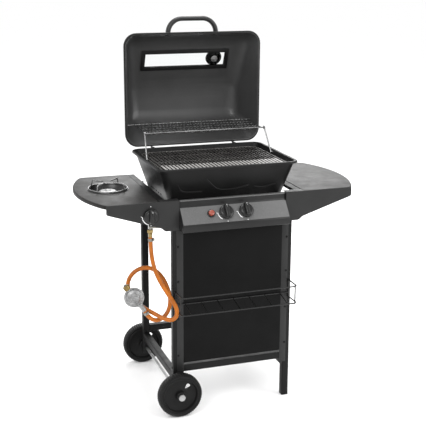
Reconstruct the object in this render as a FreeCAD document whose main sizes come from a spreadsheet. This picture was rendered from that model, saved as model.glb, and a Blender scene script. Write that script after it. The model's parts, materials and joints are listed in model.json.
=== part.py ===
import FreeCAD, Part
import math
import os
import re
import Sketcher
from types import SimpleNamespace
from FreeCAD import Placement, Rotation, Vector

# Gas barbecue on a two-wheel cart. X runs to the viewer's right, the front is -Y, Z is up,
# and the origin is on the ground, under the middle of the whole grill. Millimetres.
# The lid is stored open: every lid piece is drawn closed and turned back about its hinge.

SIZES = {
    # cart frame: square steel tube
    "cartWidth": 418, "cartDepth": 408, "legTube": 24, "tubeWall": 1.2, "legTop": 690,
    "leftLegFoot": 54, "crossRailLow": 140, "sideRailLow": 110, "upperRailLow": 665.7,
    "footHeight": 5, "footPlug": 14, "plugGap": 0.2, "fitGap": 0.3,
    # wheels and axle
    "wheelDia": 150, "wheelWidth": 38, "hubWidth": 46, "hubDia": 34, "wheelGap": 33, "axleDia": 10,
    "axleRun": 0.08, "treadDepth": 4, "rimWall": 9, "webThick": 9, "capDia": 22, "capThick": 7,
    # front panel and its edge strips
    "panelWidth": 344, "panelLow": 174, "panelTop": 632.5, "sheetThick": 1.2, "panelDepth": 8,
    "stripLow": 128, "stripWide": 23.7,
    # control panel, fascias and shelves
    "consoleWidth": 368, "consoleTop": 730, "consoleBreak": 710, "consoleLip": 656, "consoleLow": 633,
    "consoleBack": -186, "consoleFront": -200, "consoleNose": -245,
    "fasciaFront": -205.5, "fasciaOuterLow": 703, "fasciaInnerLow": 634, "fasciaFlange": 27,
    "shelfTop": 733, "shelfInner": 249, "shelfOuter": 424, "shelfBack": 217, "shelfBulge": 56,
    "shelfLip": 12, "shelfThick": 2, "cornerRound": 24, "bracketY": 150, "bracketReach": 190,
    "railWide": 22, "railHigh": 10.5,
    # firebox
    "boxCentreY": 6, "boxTop": 829, "boxLow": 690, "boxWide": 470, "boxDeep": 358, "boxTaper": 16.7,
    "boxWall": 2, "boxCorner": 10, "boxLip": 10, "lipHigh": 6,
    "grateTop": 818, "grateWide": 430, "grateDeep": 322, "grateBar": 5, "grateBars": 32,
    # lid, drawn closed
    "hingeY": 215, "hingeZ": 820, "openAngle": 90, "pinDia": 8, "pinRun": 0.06,
    "lidWide": 508, "lidFront": -193, "lidBack": 207, "lidLow": 825, "lidTop": 975, "lidWall": 2,
    "lidCorner": 55, "lidTaper": 16.7,
    "windowWide": 310, "windowHigh": 60, "frameWide": 9, "glassThick": 4,
    "handleWide": 194, "handleReach": 60, "handleBar": 17,
    # warming rack on its parallel legs
    "linkBack": 180, "linkLean": 50, "linkRise": 80, "rackWide": 430, "rackWire": 5,
    "legSpread": 226,
    # burners, valves and gas train
    "burnerZ": 716, "burnerTube": 22, "valvePitch": 69, "valveShift": 2.5, "manifoldDia": 12,
    "manifoldBack": 65, "inletX": -273, "knobDia": 48, "knobThick": 17, "knobTravel": 3,
    "stemDia": 8, "stemRun": 0.08, "sideKnobX": -280, "sideKnobZ": 689, "igniterX": -83, "buttonDia": 19,
    "buttonTravel": 5,
    "burnerX": -366, "burnerY": 21, "bowlDia": 140, "bowlHole": 132, "bowlDeep": 27, "capWide": 60,
    # wire rack on the front
    "wireDia": 4.5, "rackTopZ": 427, "rackBaseZ": 368, "rackBackZ": 382, "rackFront": -280, "rackBack": -209,
    # hose
    "hoseDia": 14,
}

doc = FreeCAD.newDocument("GasGrill")
sheet = doc.addObject("Spreadsheet::Sheet", "Sizes")
for row, (name, value) in enumerate(SIZES.items(), start=1):
    sheet.set(f"A{row}", name)
    sheet.set(f"B{row}", str(value))
    sheet.setAlias(f"B{row}", name)
doc.recompute()
s = SimpleNamespace(**{name: float(sheet.get(name)) for name in SIZES})

nodes = []
weldBead = 0.4  # how much wider a welded ball corner is than its rods
thinner = 0.15  # how much less in radius a rod is than the one it is welded to


# ---------------------------------------------------------------- helpers
def bound(text):
    """The same formula with every size read from the sheet."""
    return re.sub(r"[A-Za-z]+", lambda m: "Sizes." + m.group(0) if m.group(0) in SIZES else m.group(0), str(text))


def bind(item, **formulas):
    for prop, formula in formulas.items():
        item.setExpression(prop.replace("_", "."), bound(formula))


def place(item, x, y, z, rotation=None):
    item.Placement = Placement(Vector(0, 0, 0), rotation or Rotation())
    bind(item, Placement_Base_x=x, Placement_Base_y=y, Placement_Base_z=z)
    return item


TURN = {"Z": Rotation(), "X": Rotation(Vector(0, 1, 0), 90), "Y": Rotation(Vector(1, 0, 0), -90)}


def box(dx, dy, dz, x, y, z, rotation=None):
    item = doc.addObject("Part::Box", "Box")
    bind(item, Length=dx, Width=dy, Height=dz)
    return place(item, x, y, z, rotation)


def rod(radius, length, x, y, z, axis="Z"):
    item = doc.addObject("Part::Cylinder", "Rod")
    bind(item, Radius=radius, Height=length)
    return place(item, x, y, z, TURN[axis] if isinstance(axis, str) else axis)


def fuse(*items):
    if len(items) == 1:
        return items[0]
    item = doc.addObject("Part::MultiFuse", "Fuse")
    item.Shapes = list(items)
    item.Refine = True
    return item


def cut(base, *tools):
    item = doc.addObject("Part::Cut", "Cut")
    item.Base = base
    item.Tool = fuse(*tools)
    return item


def group(*items):
    item = doc.addObject("Part::Compound", "Group")
    item.Links = list(items)
    return item


def plain(shape):
    item = doc.addObject("Part::Feature", "Solid")
    item.Shape = shape
    return item


def node(label, item):
    """Wraps a finished piece as a sub-part, moved so that the origin is under the grill's middle."""
    holder = doc.addObject("Part::Compound", "Node")
    holder.Links = [item]
    holder.Label = label
    bind(holder, Placement_Base_y="-(hingeY + lidTop - hingeZ + rackFront - wireDia / 2) / 2")
    nodes.append(holder)
    return holder


def upright(edge):
    """A straight edge that runs up and down."""
    return abs(edge.tangentAt(edge.FirstParameter).z) > 0.9 and isinstance(edge.Curve, Part.Line)


def sheetPlate(points, thickness, plane, offset, rotation=None):
    """A body padded from a closed outline whose corners are formulas."""
    body = doc.addObject("PartDesign::Body", "Body")
    sketch = body.newObject("Sketcher::SketchObject", "Sketch")
    role = {"XY": "XY_Plane", "XZ": "XZ_Plane", "YZ": "YZ_Plane"}[plane]
    sketch.AttachmentSupport = [(next(f for f in body.Origin.OriginFeatures if f.Role == role), "")]
    sketch.MapMode = "FlatFace"
    total = len(points)
    for n in range(total):
        a, b = 2 * math.pi * n / total, 2 * math.pi * (n + 1) / total
        start = Vector(100 * math.cos(a), 100 * math.sin(a), 0)
        end = Vector(100 * math.cos(b), 100 * math.sin(b), 0)
        sketch.addGeometry(Part.LineSegment(start, end), False)
    for n in range(total):
        sketch.addConstraint(Sketcher.Constraint("Coincident", n, 2, (n + 1) % total, 1))
    for n, (across, up) in enumerate(points):
        for kind, formula in (("DistanceX", across), ("DistanceY", up)):
            index = sketch.addConstraint(Sketcher.Constraint(kind, -1, 1, n, 1, 1.0))
            sketch.setExpression(f"Constraints[{index}]", bound(formula))
    pad = body.newObject("PartDesign::Pad", "Pad")
    pad.Profile = sketch
    bind(pad, Length=thickness)
    shift = {"XY": (0, 0, offset), "XZ": (0, offset, 0), "YZ": (offset, 0, 0)}[plane]
    place(body, *shift, rotation)
    return body


def wire(points, bend):
    """A path of straight runs joined by tangent arcs; bend gives each arc's radius."""
    edges = []
    start = points[0]
    for before, corner, after in zip(points, points[1:], points[2:]):
        into = (corner - before).normalize()
        out = (after - corner).normalize()
        turn = into.getAngle(out)
        radius = bend((corner - before).Length, (after - corner).Length, turn)
        reach = radius * math.tan(turn / 2)
        enter = corner - into * reach
        leave = corner + out * reach
        middle = corner + (out - into).normalize() * (radius / math.cos(turn / 2) - radius)
        edges.append(Part.LineSegment(start, enter).toShape())
        edges.append(Part.Arc(enter, middle, leave).toShape())
        start = leave
    edges.append(Part.LineSegment(start, points[-1]).toShape())
    return Part.Wire(edges)


def bentRod(points, radius, bendRadius):
    """A round bar along the points, with every corner bent to one radius."""
    path = wire(points, lambda before, after, turn: min(bendRadius, 0.45 * min(before, after) / math.tan(turn / 2)))
    return sweep(path, points, radius)


def sweep(path, points, radius):
    circle = Part.Wire([Part.Circle(points[0], points[1] - points[0], radius).toShape()])
    return path.makePipeShell([circle], True, False)


def straight(a, b, radius):
    return Part.makeCylinder(radius, (b - a).Length, a, b - a)


def welded(shapes):
    solid = shapes[0].fuse(shapes[1:])
    return solid.removeSplitter()


def openLid(item):
    """Turns a piece drawn on the closed lid back about the hinge, to where it rests."""
    item.Placement = Placement(Vector(0, 0, 0), Rotation(Vector(1, 0, 0), -90))
    angle = "(openAngle * 1 deg)"
    bind(
        item,
        Placement_Rotation_Angle="-openAngle",
        Placement_Base_y=f"hingeY - hingeY * cos{angle} - hingeZ * sin{angle}",
        Placement_Base_z=f"hingeZ + hingeY * sin{angle} - hingeZ * cos{angle}",
    )
    return item


# ---------------------------------------------------------------- cart frame
def squareTube(length, x, y, z, axis):
    """Hollow square tube; x, y, z is its low corner."""
    wide = {"X": length, "Y": "legTube", "Z": "legTube"}[axis]
    deep = {"X": "legTube", "Y": length, "Z": "legTube"}[axis]
    high = {"X": "legTube", "Y": "legTube", "Z": length}[axis]
    skin = box(wide, deep, high, x, y, z)
    inset = {a: f" + tubeWall" if a != axis else " - 1" for a in "XYZ"}
    core = {a: "legTube - 2 * tubeWall" if a != axis else f"{length} + 2" for a in "XYZ"}
    hollow = box(core["X"], core["Y"], core["Z"], x + inset["X"], y + inset["Y"], z + inset["Z"])
    return cut(skin, hollow)


LEFT = "-cartWidth / 2"
RIGHT = "cartWidth / 2 - legTube"
FRONT = "-cartDepth / 2"
BACK = "cartDepth / 2 - legTube"

# the axle goes through both left legs, so they are bored for it
for end, y in (("front", FRONT), ("back", BACK)):
    tube = squareTube("(legTop - leftLegFoot)", LEFT, y, "leftLegFoot", "Z")
    bore = rod("axleDia / 2 + fitGap / 2", "legTube + 2", LEFT + " + legTube / 2", y + " - 1", "wheelDia / 2", "Y")
    node(f"leg_{end}_left", cut(tube, bore))
    node(f"leg_{end}_right", squareTube("(legTop - footHeight)", RIGHT, y, "footHeight", "Z"))

acrossLong = "(cartWidth - 2 * legTube)"
alongLong = "(cartDepth - 2 * legTube)"
node("front_rail", squareTube(acrossLong, LEFT + " + legTube", FRONT, "crossRailLow", "X"))
node("back_rail", squareTube(acrossLong, LEFT + " + legTube", BACK, "crossRailLow", "X"))
sideRails = [squareTube(alongLong, x, FRONT + " + legTube", "sideRailLow", "Y") for x in (LEFT, RIGHT)]
node("side_rails", group(*sideRails))
upperRails = [squareTube(alongLong, x, FRONT + " + legTube", "upperRailLow", "Y") for x in (LEFT, RIGHT)]
node("upper_rails", group(*upperRails))

caps = []
for y in (FRONT, BACK):
    base = box("legTube", "legTube", "footHeight", RIGHT, y, "0")
    inset = " + tubeWall + plugGap"
    plugSide = "legTube - 2 * (tubeWall + plugGap)"
    plug = box(plugSide, plugSide, "footPlug", RIGHT + inset, y + inset, "footHeight - 1")
    caps.append(fuse(base, plug))
node("foot_caps", group(*caps))


# ---------------------------------------------------------------- wheels and axle
axleX = LEFT + " + legTube / 2"
axleEnd = "(cartDepth / 2 + wheelGap + hubWidth / 2 + capThick / 2)"
node("axle", rod("axleDia / 2", "2 * " + axleEnd, axleX, "-" + axleEnd, "wheelDia / 2", "Y"))
axleCaps = []
for side in (-1, 1):
    inner = f"{side} * (cartDepth / 2 + wheelGap + hubWidth / 2 + fitGap)"
    low = inner if side > 0 else inner + " - capThick"
    cap = rod("capDia / 2", "capThick", axleX, low, "wheelDia / 2", "Y")
    seatLow = inner + " - 1" if side > 0 else inner + " - capThick / 2 + fitGap"
    seat = rod("axleDia / 2 + 0.02", "capThick / 2 + 1 - fitGap", axleX, seatLow, "wheelDia / 2", "Y")
    axleCaps.append(cut(cap, seat))
node("axle_caps", group(*axleCaps))


def wheel(label, side):
    """Moulded wheel with a rim, a web with six openings and a hub."""
    middle = f"{side} * (cartDepth / 2 + wheelGap)"
    low = middle + " - wheelWidth / 2"
    outer = rod("wheelDia / 2", "wheelWidth", axleX, low, "wheelDia / 2", "Y")
    bowlY = "wheelWidth + 2"
    inside = rod("wheelDia / 2 - treadDepth - rimWall", bowlY, axleX, low + " - 1", "wheelDia / 2", "Y")
    rim = cut(outer, inside)
    web = rod("wheelDia / 2 - treadDepth - 1", "webThick", axleX, middle + " - webThick / 2", "wheelDia / 2", "Y")
    hub = rod("hubDia / 2", "hubWidth", axleX, middle + " - hubWidth / 2", "wheelDia / 2", "Y")
    whole = fuse(rim, web, hub)
    tools = [rod("axleDia / 2 + axleRun", "hubWidth + 2", axleX, middle + " - hubWidth / 2 - 1", "wheelDia / 2", "Y")]
    for n in range(6):
        turn = f"({60 * n + 30} * 1 deg)"
        reach = "(hubDia / 2 + wheelDia / 2 - treadDepth - rimWall) / 2"
        x = f"{axleX} + {reach} * cos{turn}"
        z = f"wheelDia / 2 + {reach} * sin{turn}"
        tools.append(rod("(wheelDia / 2 - treadDepth - rimWall - hubDia / 2) / 2 - 3", "webThick + 4", x,
                         middle + " - webThick / 2 - 2", z, "Y"))
    return node(label, cut(whole, *tools))


wheel("wheel_front", -1)
wheel("wheel_back", 1)


# ---------------------------------------------------------------- front panel
panelX = "-panelWidth / 2"
panelHigh = "(panelTop - panelLow)"
skin = box("panelWidth", "sheetThick", panelHigh, panelX, "fasciaFront", "panelLow")
walls = []
for side in (-1, 1):
    wallX = panelX if side < 0 else "panelWidth / 2 - sheetThick"
    walls.append(box("sheetThick", "panelDepth", panelHigh, wallX, "fasciaFront", "panelLow"))
    lugX = "-(cartWidth / 2 - legTube)" if side < 0 else "panelWidth / 2 - sheetThick"
    lugWide = "cartWidth / 2 - legTube - panelWidth / 2 + sheetThick"
    walls.append(box(lugWide, "sheetThick", panelHigh, lugX, "fasciaFront + panelDepth - sheetThick", "panelLow"))
node("front_panel", fuse(skin, *walls))

strips = []
for side in (-1, 1):
    stripX = "-panelWidth / 2 - fitGap - stripWide" if side < 0 else "panelWidth / 2 + fitGap"
    strips.append(box("stripWide", "-cartDepth / 2 - fasciaFront", "panelTop - stripLow", stripX, "fasciaFront", "stripLow"))
node("panel_strips", group(*strips))


# ---------------------------------------------------------------- control panel
def console():
    """Slanted sheet cover with closed ends, open at its back and underneath."""
    outer = [("consoleBack", "consoleTop"), ("consoleFront", "consoleTop"), ("consoleFront", "consoleBreak"),
             ("consoleNose", "consoleLip"), ("consoleNose", "consoleLow"), ("consoleBack", "consoleLow")]
    t = "sheetThick"
    inner = [("consoleBack + 5", "consoleTop - " + t), ("consoleFront + " + t, "consoleTop - " + t),
             ("consoleFront + " + t, "consoleBreak - 0.5 * " + t), ("consoleNose + " + t, "consoleLip - 0.5 * " + t),
             ("consoleNose + " + t, "consoleLow + " + t), ("consoleFront - 12", "consoleLow + " + t),
             ("consoleFront - 12", "consoleLow - 5"), ("consoleBack + 5", "consoleLow - 5")]
    whole = sheetPlate(outer, "consoleWidth", "YZ", "-consoleWidth / 2")
    hollow = sheetPlate(inner, f"consoleWidth - 2 * {t}", "YZ", f"-consoleWidth / 2 + {t}")
    return whole, hollow


slope = math.atan2(s.consoleFront - s.consoleNose, s.consoleBreak - s.consoleLip)
outward = Vector(0, -math.cos(slope), math.sin(slope))
tilted = Rotation(Vector(0, 0, 1), outward)
facePoint = Vector(0, (s.consoleFront + s.consoleNose) / 2 + 2, (s.consoleBreak + s.consoleLip) / 2 + 2.4)


def along(x, distance):
    """A point on a control's axis, so far in front of the slanted face."""
    return Vector(x, facePoint.y, facePoint.z) + outward * distance


knobPlaces = {"left": s.valveShift - s.valvePitch / 2, "right": s.valveShift + s.valvePitch / 2}
igniterX = s.igniterX

whole, hollow = console()
holes = [rod("stemDia / 2 + 3", 12, x, along(x, -6).y, along(x, -6).z, tilted) for x in knobPlaces.values()]
holes.append(rod("buttonDia / 2 + 2.8", 12, "igniterX", along(0, -6).y, along(0, -6).z, tilted))
node("control_panel", cut(whole, hollow, *holes))


# ---------------------------------------------------------------- shelves and fascias
def fascia(side):
    """Front apron of a shelf, deep at the leg and shallow at its outer end, with a top flange by the firebox."""
    inner = f"{side} * (consoleWidth / 2 + fitGap)"
    outer = f"{side} * shelfOuter"
    legOut = f"{side} * cartWidth / 2"
    face = sheetPlate(
        [(inner, "shelfTop"), (outer, "shelfTop"), (outer, "fasciaOuterLow"), (legOut, "fasciaInnerLow"),
         (inner, "fasciaInnerLow")],
        "sheetThick", "XZ", "fasciaFront + sheetThick")
    flangeX = "-shelfInner + fitGap" if side < 0 else "consoleWidth / 2 + fitGap"
    flange = box("shelfInner - consoleWidth / 2 - 2 * fitGap", "fasciaFlange", "sheetThick", flangeX, "fasciaFront",
                 "shelfTop - sheetThick")
    return fuse(face, flange)


leftFascia = fascia(-1)
stemHole = rod("stemDia / 2 + 3", 12, "sideKnobX", "fasciaFront - 5", "sideKnobZ", "Y")
node("fascia_left", cut(leftFascia, stemHole))
node("fascia_right", fascia(1))


def shelf(side):
    """Pressed shelf with an arched outer edge and a turned-down lip."""
    front = s.fasciaFront + s.sheetThick + s.fitGap
    shapes = []
    for inset, low, high in ((0, s.shelfTop - s.shelfLip, s.shelfTop),
                             (s.shelfThick, s.shelfTop - s.shelfLip - 1, s.shelfTop - s.shelfThick)):
        a = Vector(side * (s.shelfInner + inset), front + inset, low)
        b = Vector(side * (s.shelfOuter - inset), front + inset, low)
        c = Vector(side * (s.shelfOuter + s.shelfBulge - inset), (front + s.shelfBack) / 2, low)
        d = Vector(side * (s.shelfOuter - inset), s.shelfBack - inset, low)
        e = Vector(side * (s.shelfInner + inset), s.shelfBack - inset, low)
        edges = [Part.LineSegment(a, b).toShape(), Part.Arc(b, c, d).toShape(), Part.LineSegment(d, e).toShape(),
                 Part.LineSegment(e, a).toShape()]
        solid = Part.Face(Part.Wire(edges)).extrude(Vector(0, 0, high - low))
        ends = [edge for edge in solid.Edges if upright(edge) and abs(edge.Vertexes[0].X) > s.shelfOuter - 9]
        shapes.append(solid.makeFillet(s.cornerRound - inset, ends))
    return shapes[0].cut(shapes[1])


leftShelf = plain(shelf(-1))
node("shelf_left", cut(leftShelf, rod("bowlHole / 2", 20, "burnerX", "burnerY", "shelfTop - 10", "Z")))
node("shelf_right", plain(shelf(1)))

brackets = []
for side in (-1, 1):
    root = f"{side} * (cartWidth / 2 + 0)"
    tip = f"{side} * (cartWidth / 2 + bracketReach)"
    under = "shelfTop - shelfThick"
    notch = f"{side} * (shelfInner + shelfThick + fitGap)"
    lipLow = "shelfTop - shelfLip - fitGap"
    gusset = sheetPlate([(root, lipLow), (notch, lipLow), (notch, under), (tip, under),
                         (tip, under + " - shelfLip"), (root, "upperRailLow")],
                        "sheetThick * 2", "XZ", "bracketY")
    brackets.append(gusset)
node("shelf_brackets", group(*brackets))

# folded rail under the inner edge of each shelf, from the fascia to the back, resting on the bracket
shelfRails = []
for side in (-1, 1):
    railX = "-shelfInner + fitGap" if side < 0 else "shelfInner - fitGap - railWide"
    railY = "fasciaFront + sheetThick + fitGap"
    railLong = "shelfBack - fasciaFront - sheetThick - fitGap"
    railLow = "shelfTop - sheetThick - fitGap - railHigh"
    channel = box("railWide", railLong, "railHigh", railX, railY, railLow)
    inside = box("railWide - 2 * sheetThick", railLong + " + 2", "railHigh", railX + " + sheetThick", railY + " - 1",
                 railLow + " - sheetThick")
    shelfRails.append(cut(channel, inside))
node("shelf_rails", group(*shelfRails))


# ---------------------------------------------------------------- firebox
taper = math.tan(math.radians(s.boxTaper))


def outline(wide, deep, corner, middleY, z):
    """Rounded rectangle."""
    a, b = wide / 2, deep / 2
    c = corner * (1 - math.sqrt(0.5))
    edges = []
    ring = [(1, -1), (1, 1), (-1, 1), (-1, -1)]
    for n, (sx, sy) in enumerate(ring):
        before, after = (Vector(sx * (a - corner), sy * b), Vector(sx * a, sy * (b - corner)))
        if sx * sy > 0:
            before, after = after, before
        middle = Vector(sx * (a - c), sy * (b - c))
        nextX, nextY = ring[(n + 1) % 4]
        if nextX == sx:
            end = Vector(nextX * a, nextY * (b - corner))
        else:
            end = Vector(nextX * (a - corner), nextY * b)
        edges.append(Part.Arc(before, middle, after).toShape())
        edges.append(Part.LineSegment(after, end).toShape())
    path = Part.Wire(edges)
    path.translate(Vector(0, middleY, z))
    return path


def tub(wideLow, deepLow, cornerLow, low, high, spread, middleY):
    """Solid whose rounded outline grows (or shrinks) by spread per millimetre of height."""
    grow = spread * (high - low)
    first = outline(wideLow, deepLow, cornerLow, middleY, low)
    second = outline(wideLow + 2 * grow, deepLow + 2 * grow, cornerLow + grow, middleY, high)
    return Part.makeLoft([first, second], True, True)


boxHigh = s.boxTop - s.boxLow
lowWide = s.boxWide - 2 * taper * boxHigh
lowDeep = s.boxDeep - 2 * taper * boxHigh


def wallInside(z):
    """Half width and half depth inside the firebox wall at a height."""
    inward = taper * (s.boxTop - z) + s.boxWall / math.cos(math.atan(taper))
    return s.boxWide / 2 - inward, s.boxDeep / 2 - inward


drainY = 60


def firebox():
    midY = s.boxCentreY
    shell = tub(lowWide, lowDeep, s.boxCorner, s.boxLow, s.boxTop, taper, midY)
    t = s.boxWall / math.cos(math.atan(taper))
    lift = taper * s.boxWall
    hollow = tub(lowWide - 2 * t + 2 * lift, lowDeep - 2 * t + 2 * lift, s.boxCorner - 1, s.boxLow + s.boxWall,
                 s.boxTop + 1, taper, midY)
    lipCorner = s.boxCorner + taper * boxHigh + s.boxLip
    lip = Part.Face(outline(s.boxWide + 2 * s.boxLip, s.boxDeep + 2 * s.boxLip, lipCorner, midY, s.boxTop - s.lipHigh))
    lip = lip.extrude(Vector(0, 0, s.lipHigh))
    solid = shell.fuse(lip).cut(hollow)
    # ledges for the cooking grate and the heat plate
    for top, reachX, reachY, spanX in ((s.grateTop - s.grateBar - s.fitGap, s.grateWide / 2 - 8, s.grateDeep / 2 - 8, 400),
                                       (plateSeat, 0, wallInside(plateSeat)[1] - 9, 300)):
        outX, outY = wallInside(top)
        for side in (-1, 1):
            bar = Part.makeBox(spanX, outY + 1 - reachY, 2, Vector(-spanX / 2, 0, top - 2))
            bar.translate(Vector(0, midY + (reachY if side > 0 else -outY - 1), 0))
            solid = solid.fuse(bar)
            if reachX:
                bar = Part.makeBox(outX + 1 - reachX, 240, 2, Vector(0, midY - 120, top - 2))
                bar.translate(Vector(reachX if side > 0 else -outX - 1, 0, 0))
                solid = solid.fuse(bar)
    tools = [Part.makeCylinder(12, 10, Vector(s.valveShift, drainY, s.boxLow - 2))]
    tools.append(Part.makeCylinder(4.3, 10, Vector(s.valveShift, -60, s.boxLow - 2)))
    for x in knobPlaces.values():
        tools.append(Part.makeBox(26, 74, 10, Vector(x - 13, -112, s.boxLow - 2)))
    for side in (-1, 1):
        pivot = Vector(side * 225, s.hingeY - s.linkBack, s.hingeZ)
        tools.append(Part.makeCylinder(s.rackWire / 2 + 0.06, 14, pivot, Vector(side, 0, 0)))
        for n in range(5):
            tools.append(Part.makeBox(40, 14, 6, Vector(side * 205 - 20, midY - 64 + 28 * n, s.boxLow + 26)))
    return solid.cut(tools[0].fuse(tools[1:])).removeSplitter()


plateSeat = 753
node("firebox", plain(firebox()))


grateCorner = 32


def cookingGrate():
    """Bars from front to back in a wire frame, with three cross bars welded underneath."""
    r = s.grateBar / 2
    z = s.grateTop - r
    midY, halfX, halfY = s.boxCentreY, s.grateWide / 2, s.grateDeep / 2
    path = outline(s.grateWide, s.grateDeep, grateCorner, midY, z)
    circle = Part.Wire([Part.Circle(Vector(0, midY - halfY, z), Vector(1, 0, 0), r).toShape()])
    shapes = [path.makePipeShell([circle], True, False)]
    pitch = s.grateWide / (s.grateBars + 1)
    for n in range(int(s.grateBars)):
        x = -halfX + pitch * (n + 1)
        past = max(0, abs(x) - halfX + grateCorner)
        reach = halfY - grateCorner + math.sqrt(grateCorner ** 2 - past ** 2)
        shapes.append(straight(Vector(x, midY - reach, z), Vector(x, midY + reach, z), r * 0.86))
    for share in (-0.6, 0, 0.6):
        y = midY + share * halfY
        shapes.append(straight(Vector(-halfX + 12, y, z - r * 1.3), Vector(halfX - 12, y, z - r * 1.3), r))
    return welded(shapes)


node("cooking_grate", plain(cookingGrate()))


def heatPlate():
    """Three folded tents over the burners, joined by a strap at each end."""
    seatHalf = wallInside(plateSeat + 1)[1] - 0.5
    shapes = []
    for middle in (-112, 0, 112):
        for side in (-1, 1):
            low, top = Vector(middle + side * 44, 0, plateSeat), Vector(middle, 0, plateSeat + 30)
            points = [low, top, top + Vector(0, 0, 1.6), low + Vector(0, 0, 1.6), low]
            face = Part.Face(Part.makePolygon(points))
            leaf = face.extrude(Vector(0, 2 * seatHalf, 0))
            leaf.translate(Vector(0, s.boxCentreY - seatHalf, 0))
            shapes.append(leaf)
    for y in (s.boxCentreY - seatHalf, s.boxCentreY + seatHalf - 14):
        shapes.append(Part.makeBox(312, 14, 1.4, Vector(-156, y, plateSeat)))
    return welded(shapes)


node("heat_plate", plain(heatPlate()))


def burner(x, side):
    """Half of the twin burner: a tube loop with its mixing tube coming up through the floor."""
    r = s.burnerTube / 2 - 2
    inner, outer = s.valveShift + side * 20, s.valveShift + side * 168
    front, back = -84, 100
    corner = [Vector(inner, front, s.burnerZ), Vector(outer, front, s.burnerZ), Vector(outer, back, s.burnerZ),
              Vector(inner, back, s.burnerZ)]
    shapes = [straight(a, b, r) for a, b in zip(corner, corner[1:] + corner[:1])]
    shapes += [Part.makeSphere(r + weldBead, point) for point in corner]
    jetZ = along(0, -22).z
    path = [Vector(x, -172, jetZ), Vector(x, -104, jetZ), Vector(x, -58, s.burnerZ), Vector(x, -30, s.burnerZ)]
    shapes.append(bentRod(path, s.burnerTube / 2 - 1, 30))
    shapes.append(straight(Vector(inner, -40, s.burnerZ), Vector(x + side * 4, -40, s.burnerZ), r - 1))
    for y in (front, back):
        post = Vector((inner + outer) / 2, y, s.boxLow + s.boxWall)
        shapes.append(straight(post, Vector(post.x, y, s.burnerZ), 4))
    mouth = straight(Vector(x, -173, jetZ), Vector(x, -148, jetZ), s.burnerTube / 2 - 3)
    return welded(shapes).cut(mouth)


node("burner_left", plain(burner(knobPlaces["left"], -1)))
node("burner_right", plain(burner(knobPlaces["right"], 1)))

electrodeX, electrodeY = s.valveShift, -60
electrode = straight(Vector(electrodeX, electrodeY, 678), Vector(electrodeX, electrodeY, 720), 4)
tip = straight(Vector(electrodeX, electrodeY, 719), Vector(electrodeX, electrodeY, 731), 1)
node("electrode", plain(electrode.fuse(tip)))


def greaseCup():
    """Drip cup hung under the drain by its own two straps."""
    middle = Vector(s.valveShift, drainY, 606)
    cup = Part.makeCylinder(28, 40, middle).cut(Part.makeCylinder(26.8, 40, middle + Vector(0, 0, 1.2)))
    shapes = [cup]
    for side in (-1, 1):
        strap = Part.makeBox(1.2, 12, s.boxLow - 612, Vector(-0.6, drainY - 6, 612))
        strap.translate(Vector(s.valveShift + side * 28.2, 0, 0))
        hook = Part.makeBox(14, 12, 1.2, Vector(-7, drainY - 6, s.boxLow - 1.2))
        hook.translate(Vector(s.valveShift + side * 22, 0, 0))
        shapes += [strap, hook]
    return welded(shapes)


node("grease_cup", plain(greaseCup()))


# ---------------------------------------------------------------- gas train and controls
manifoldAt = along(0, -s.manifoldBack)
nozzleTop = manifoldAt.z - s.manifoldDia / 2 - 1.5


def manifold():
    """Gas rail behind the control panel, with the inlet end turned down and a riser to the side valve."""
    r = s.manifoldDia / 2
    rail = straight(Vector(s.inletX, manifoldAt.y, manifoldAt.z), Vector(64, manifoldAt.y, manifoldAt.z), r)
    knuckle = Part.makeSphere(r + weldBead, Vector(s.inletX, manifoldAt.y, manifoldAt.z))
    drop = straight(Vector(s.inletX, manifoldAt.y, manifoldAt.z), Vector(s.inletX, manifoldAt.y, nozzleTop), r)
    riser = straight(Vector(s.sideKnobX + 12, manifoldAt.y, manifoldAt.z),
                     Vector(s.sideKnobX + 12, manifoldAt.y, s.sideKnobZ - 6), 4)
    return welded([rail, knuckle, drop, riser])


node("manifold", plain(manifold()))

hoseStart = Vector(s.inletX, manifoldAt.y, 610)
nozzle = Part.Face(Part.makePolygon([Vector(10 * math.cos(math.radians(a)), 10 * math.sin(math.radians(a)), 0)
                                     for a in range(0, 361, 60)])).extrude(Vector(0, 0, 12))
nozzle.translate(Vector(s.inletX, manifoldAt.y, nozzleTop - 12))
neck = straight(hoseStart, Vector(s.inletX, manifoldAt.y, nozzleTop - 11), 6.6)
node("hose_nozzle", plain(nozzle.fuse(neck)))


def valve(x):
    """Gas tap: neck against the panel, body on the rail, jet pointing into the mixing tube."""
    body = straight(along(x, -18), along(x, -s.manifoldBack + s.manifoldDia / 2 + 0.3), 9)
    neck = straight(along(x, -s.sheetThick - s.fitGap), along(x, -19), 10.5)
    jetFrom = along(x, -22)
    jet = straight(jetFrom, Vector(x, -165, jetFrom.z), 3.5)
    bore = straight(along(x, 1), along(x, -31), s.stemDia / 2 + s.stemRun)
    return welded([body, neck, jet]).cut(bore)


node("main_valves", group(*[plain(valve(x)) for x in knobPlaces.values()]))

sideBack = s.fasciaFront + s.sheetThick
sideAt = Vector(s.sideKnobX, 0, s.sideKnobZ)


def sidePoint(y):
    return Vector(s.sideKnobX, y, s.sideKnobZ)


def sideValve():
    body = straight(sidePoint(sideBack), sidePoint(-172), 10)
    outlet = straight(sidePoint(-173), sidePoint(-152.5), 4)
    boss = straight(Vector(s.sideKnobX, manifoldAt.y - 6, s.sideKnobZ), Vector(s.sideKnobX + 12, manifoldAt.y - 6, s.sideKnobZ), 6)
    bore = straight(sidePoint(sideBack - 1), sidePoint(sideBack + 30), s.stemDia / 2 + s.stemRun)
    return welded([body, outlet, boss]).cut(bore)


node("side_valve", plain(sideValve()))

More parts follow.
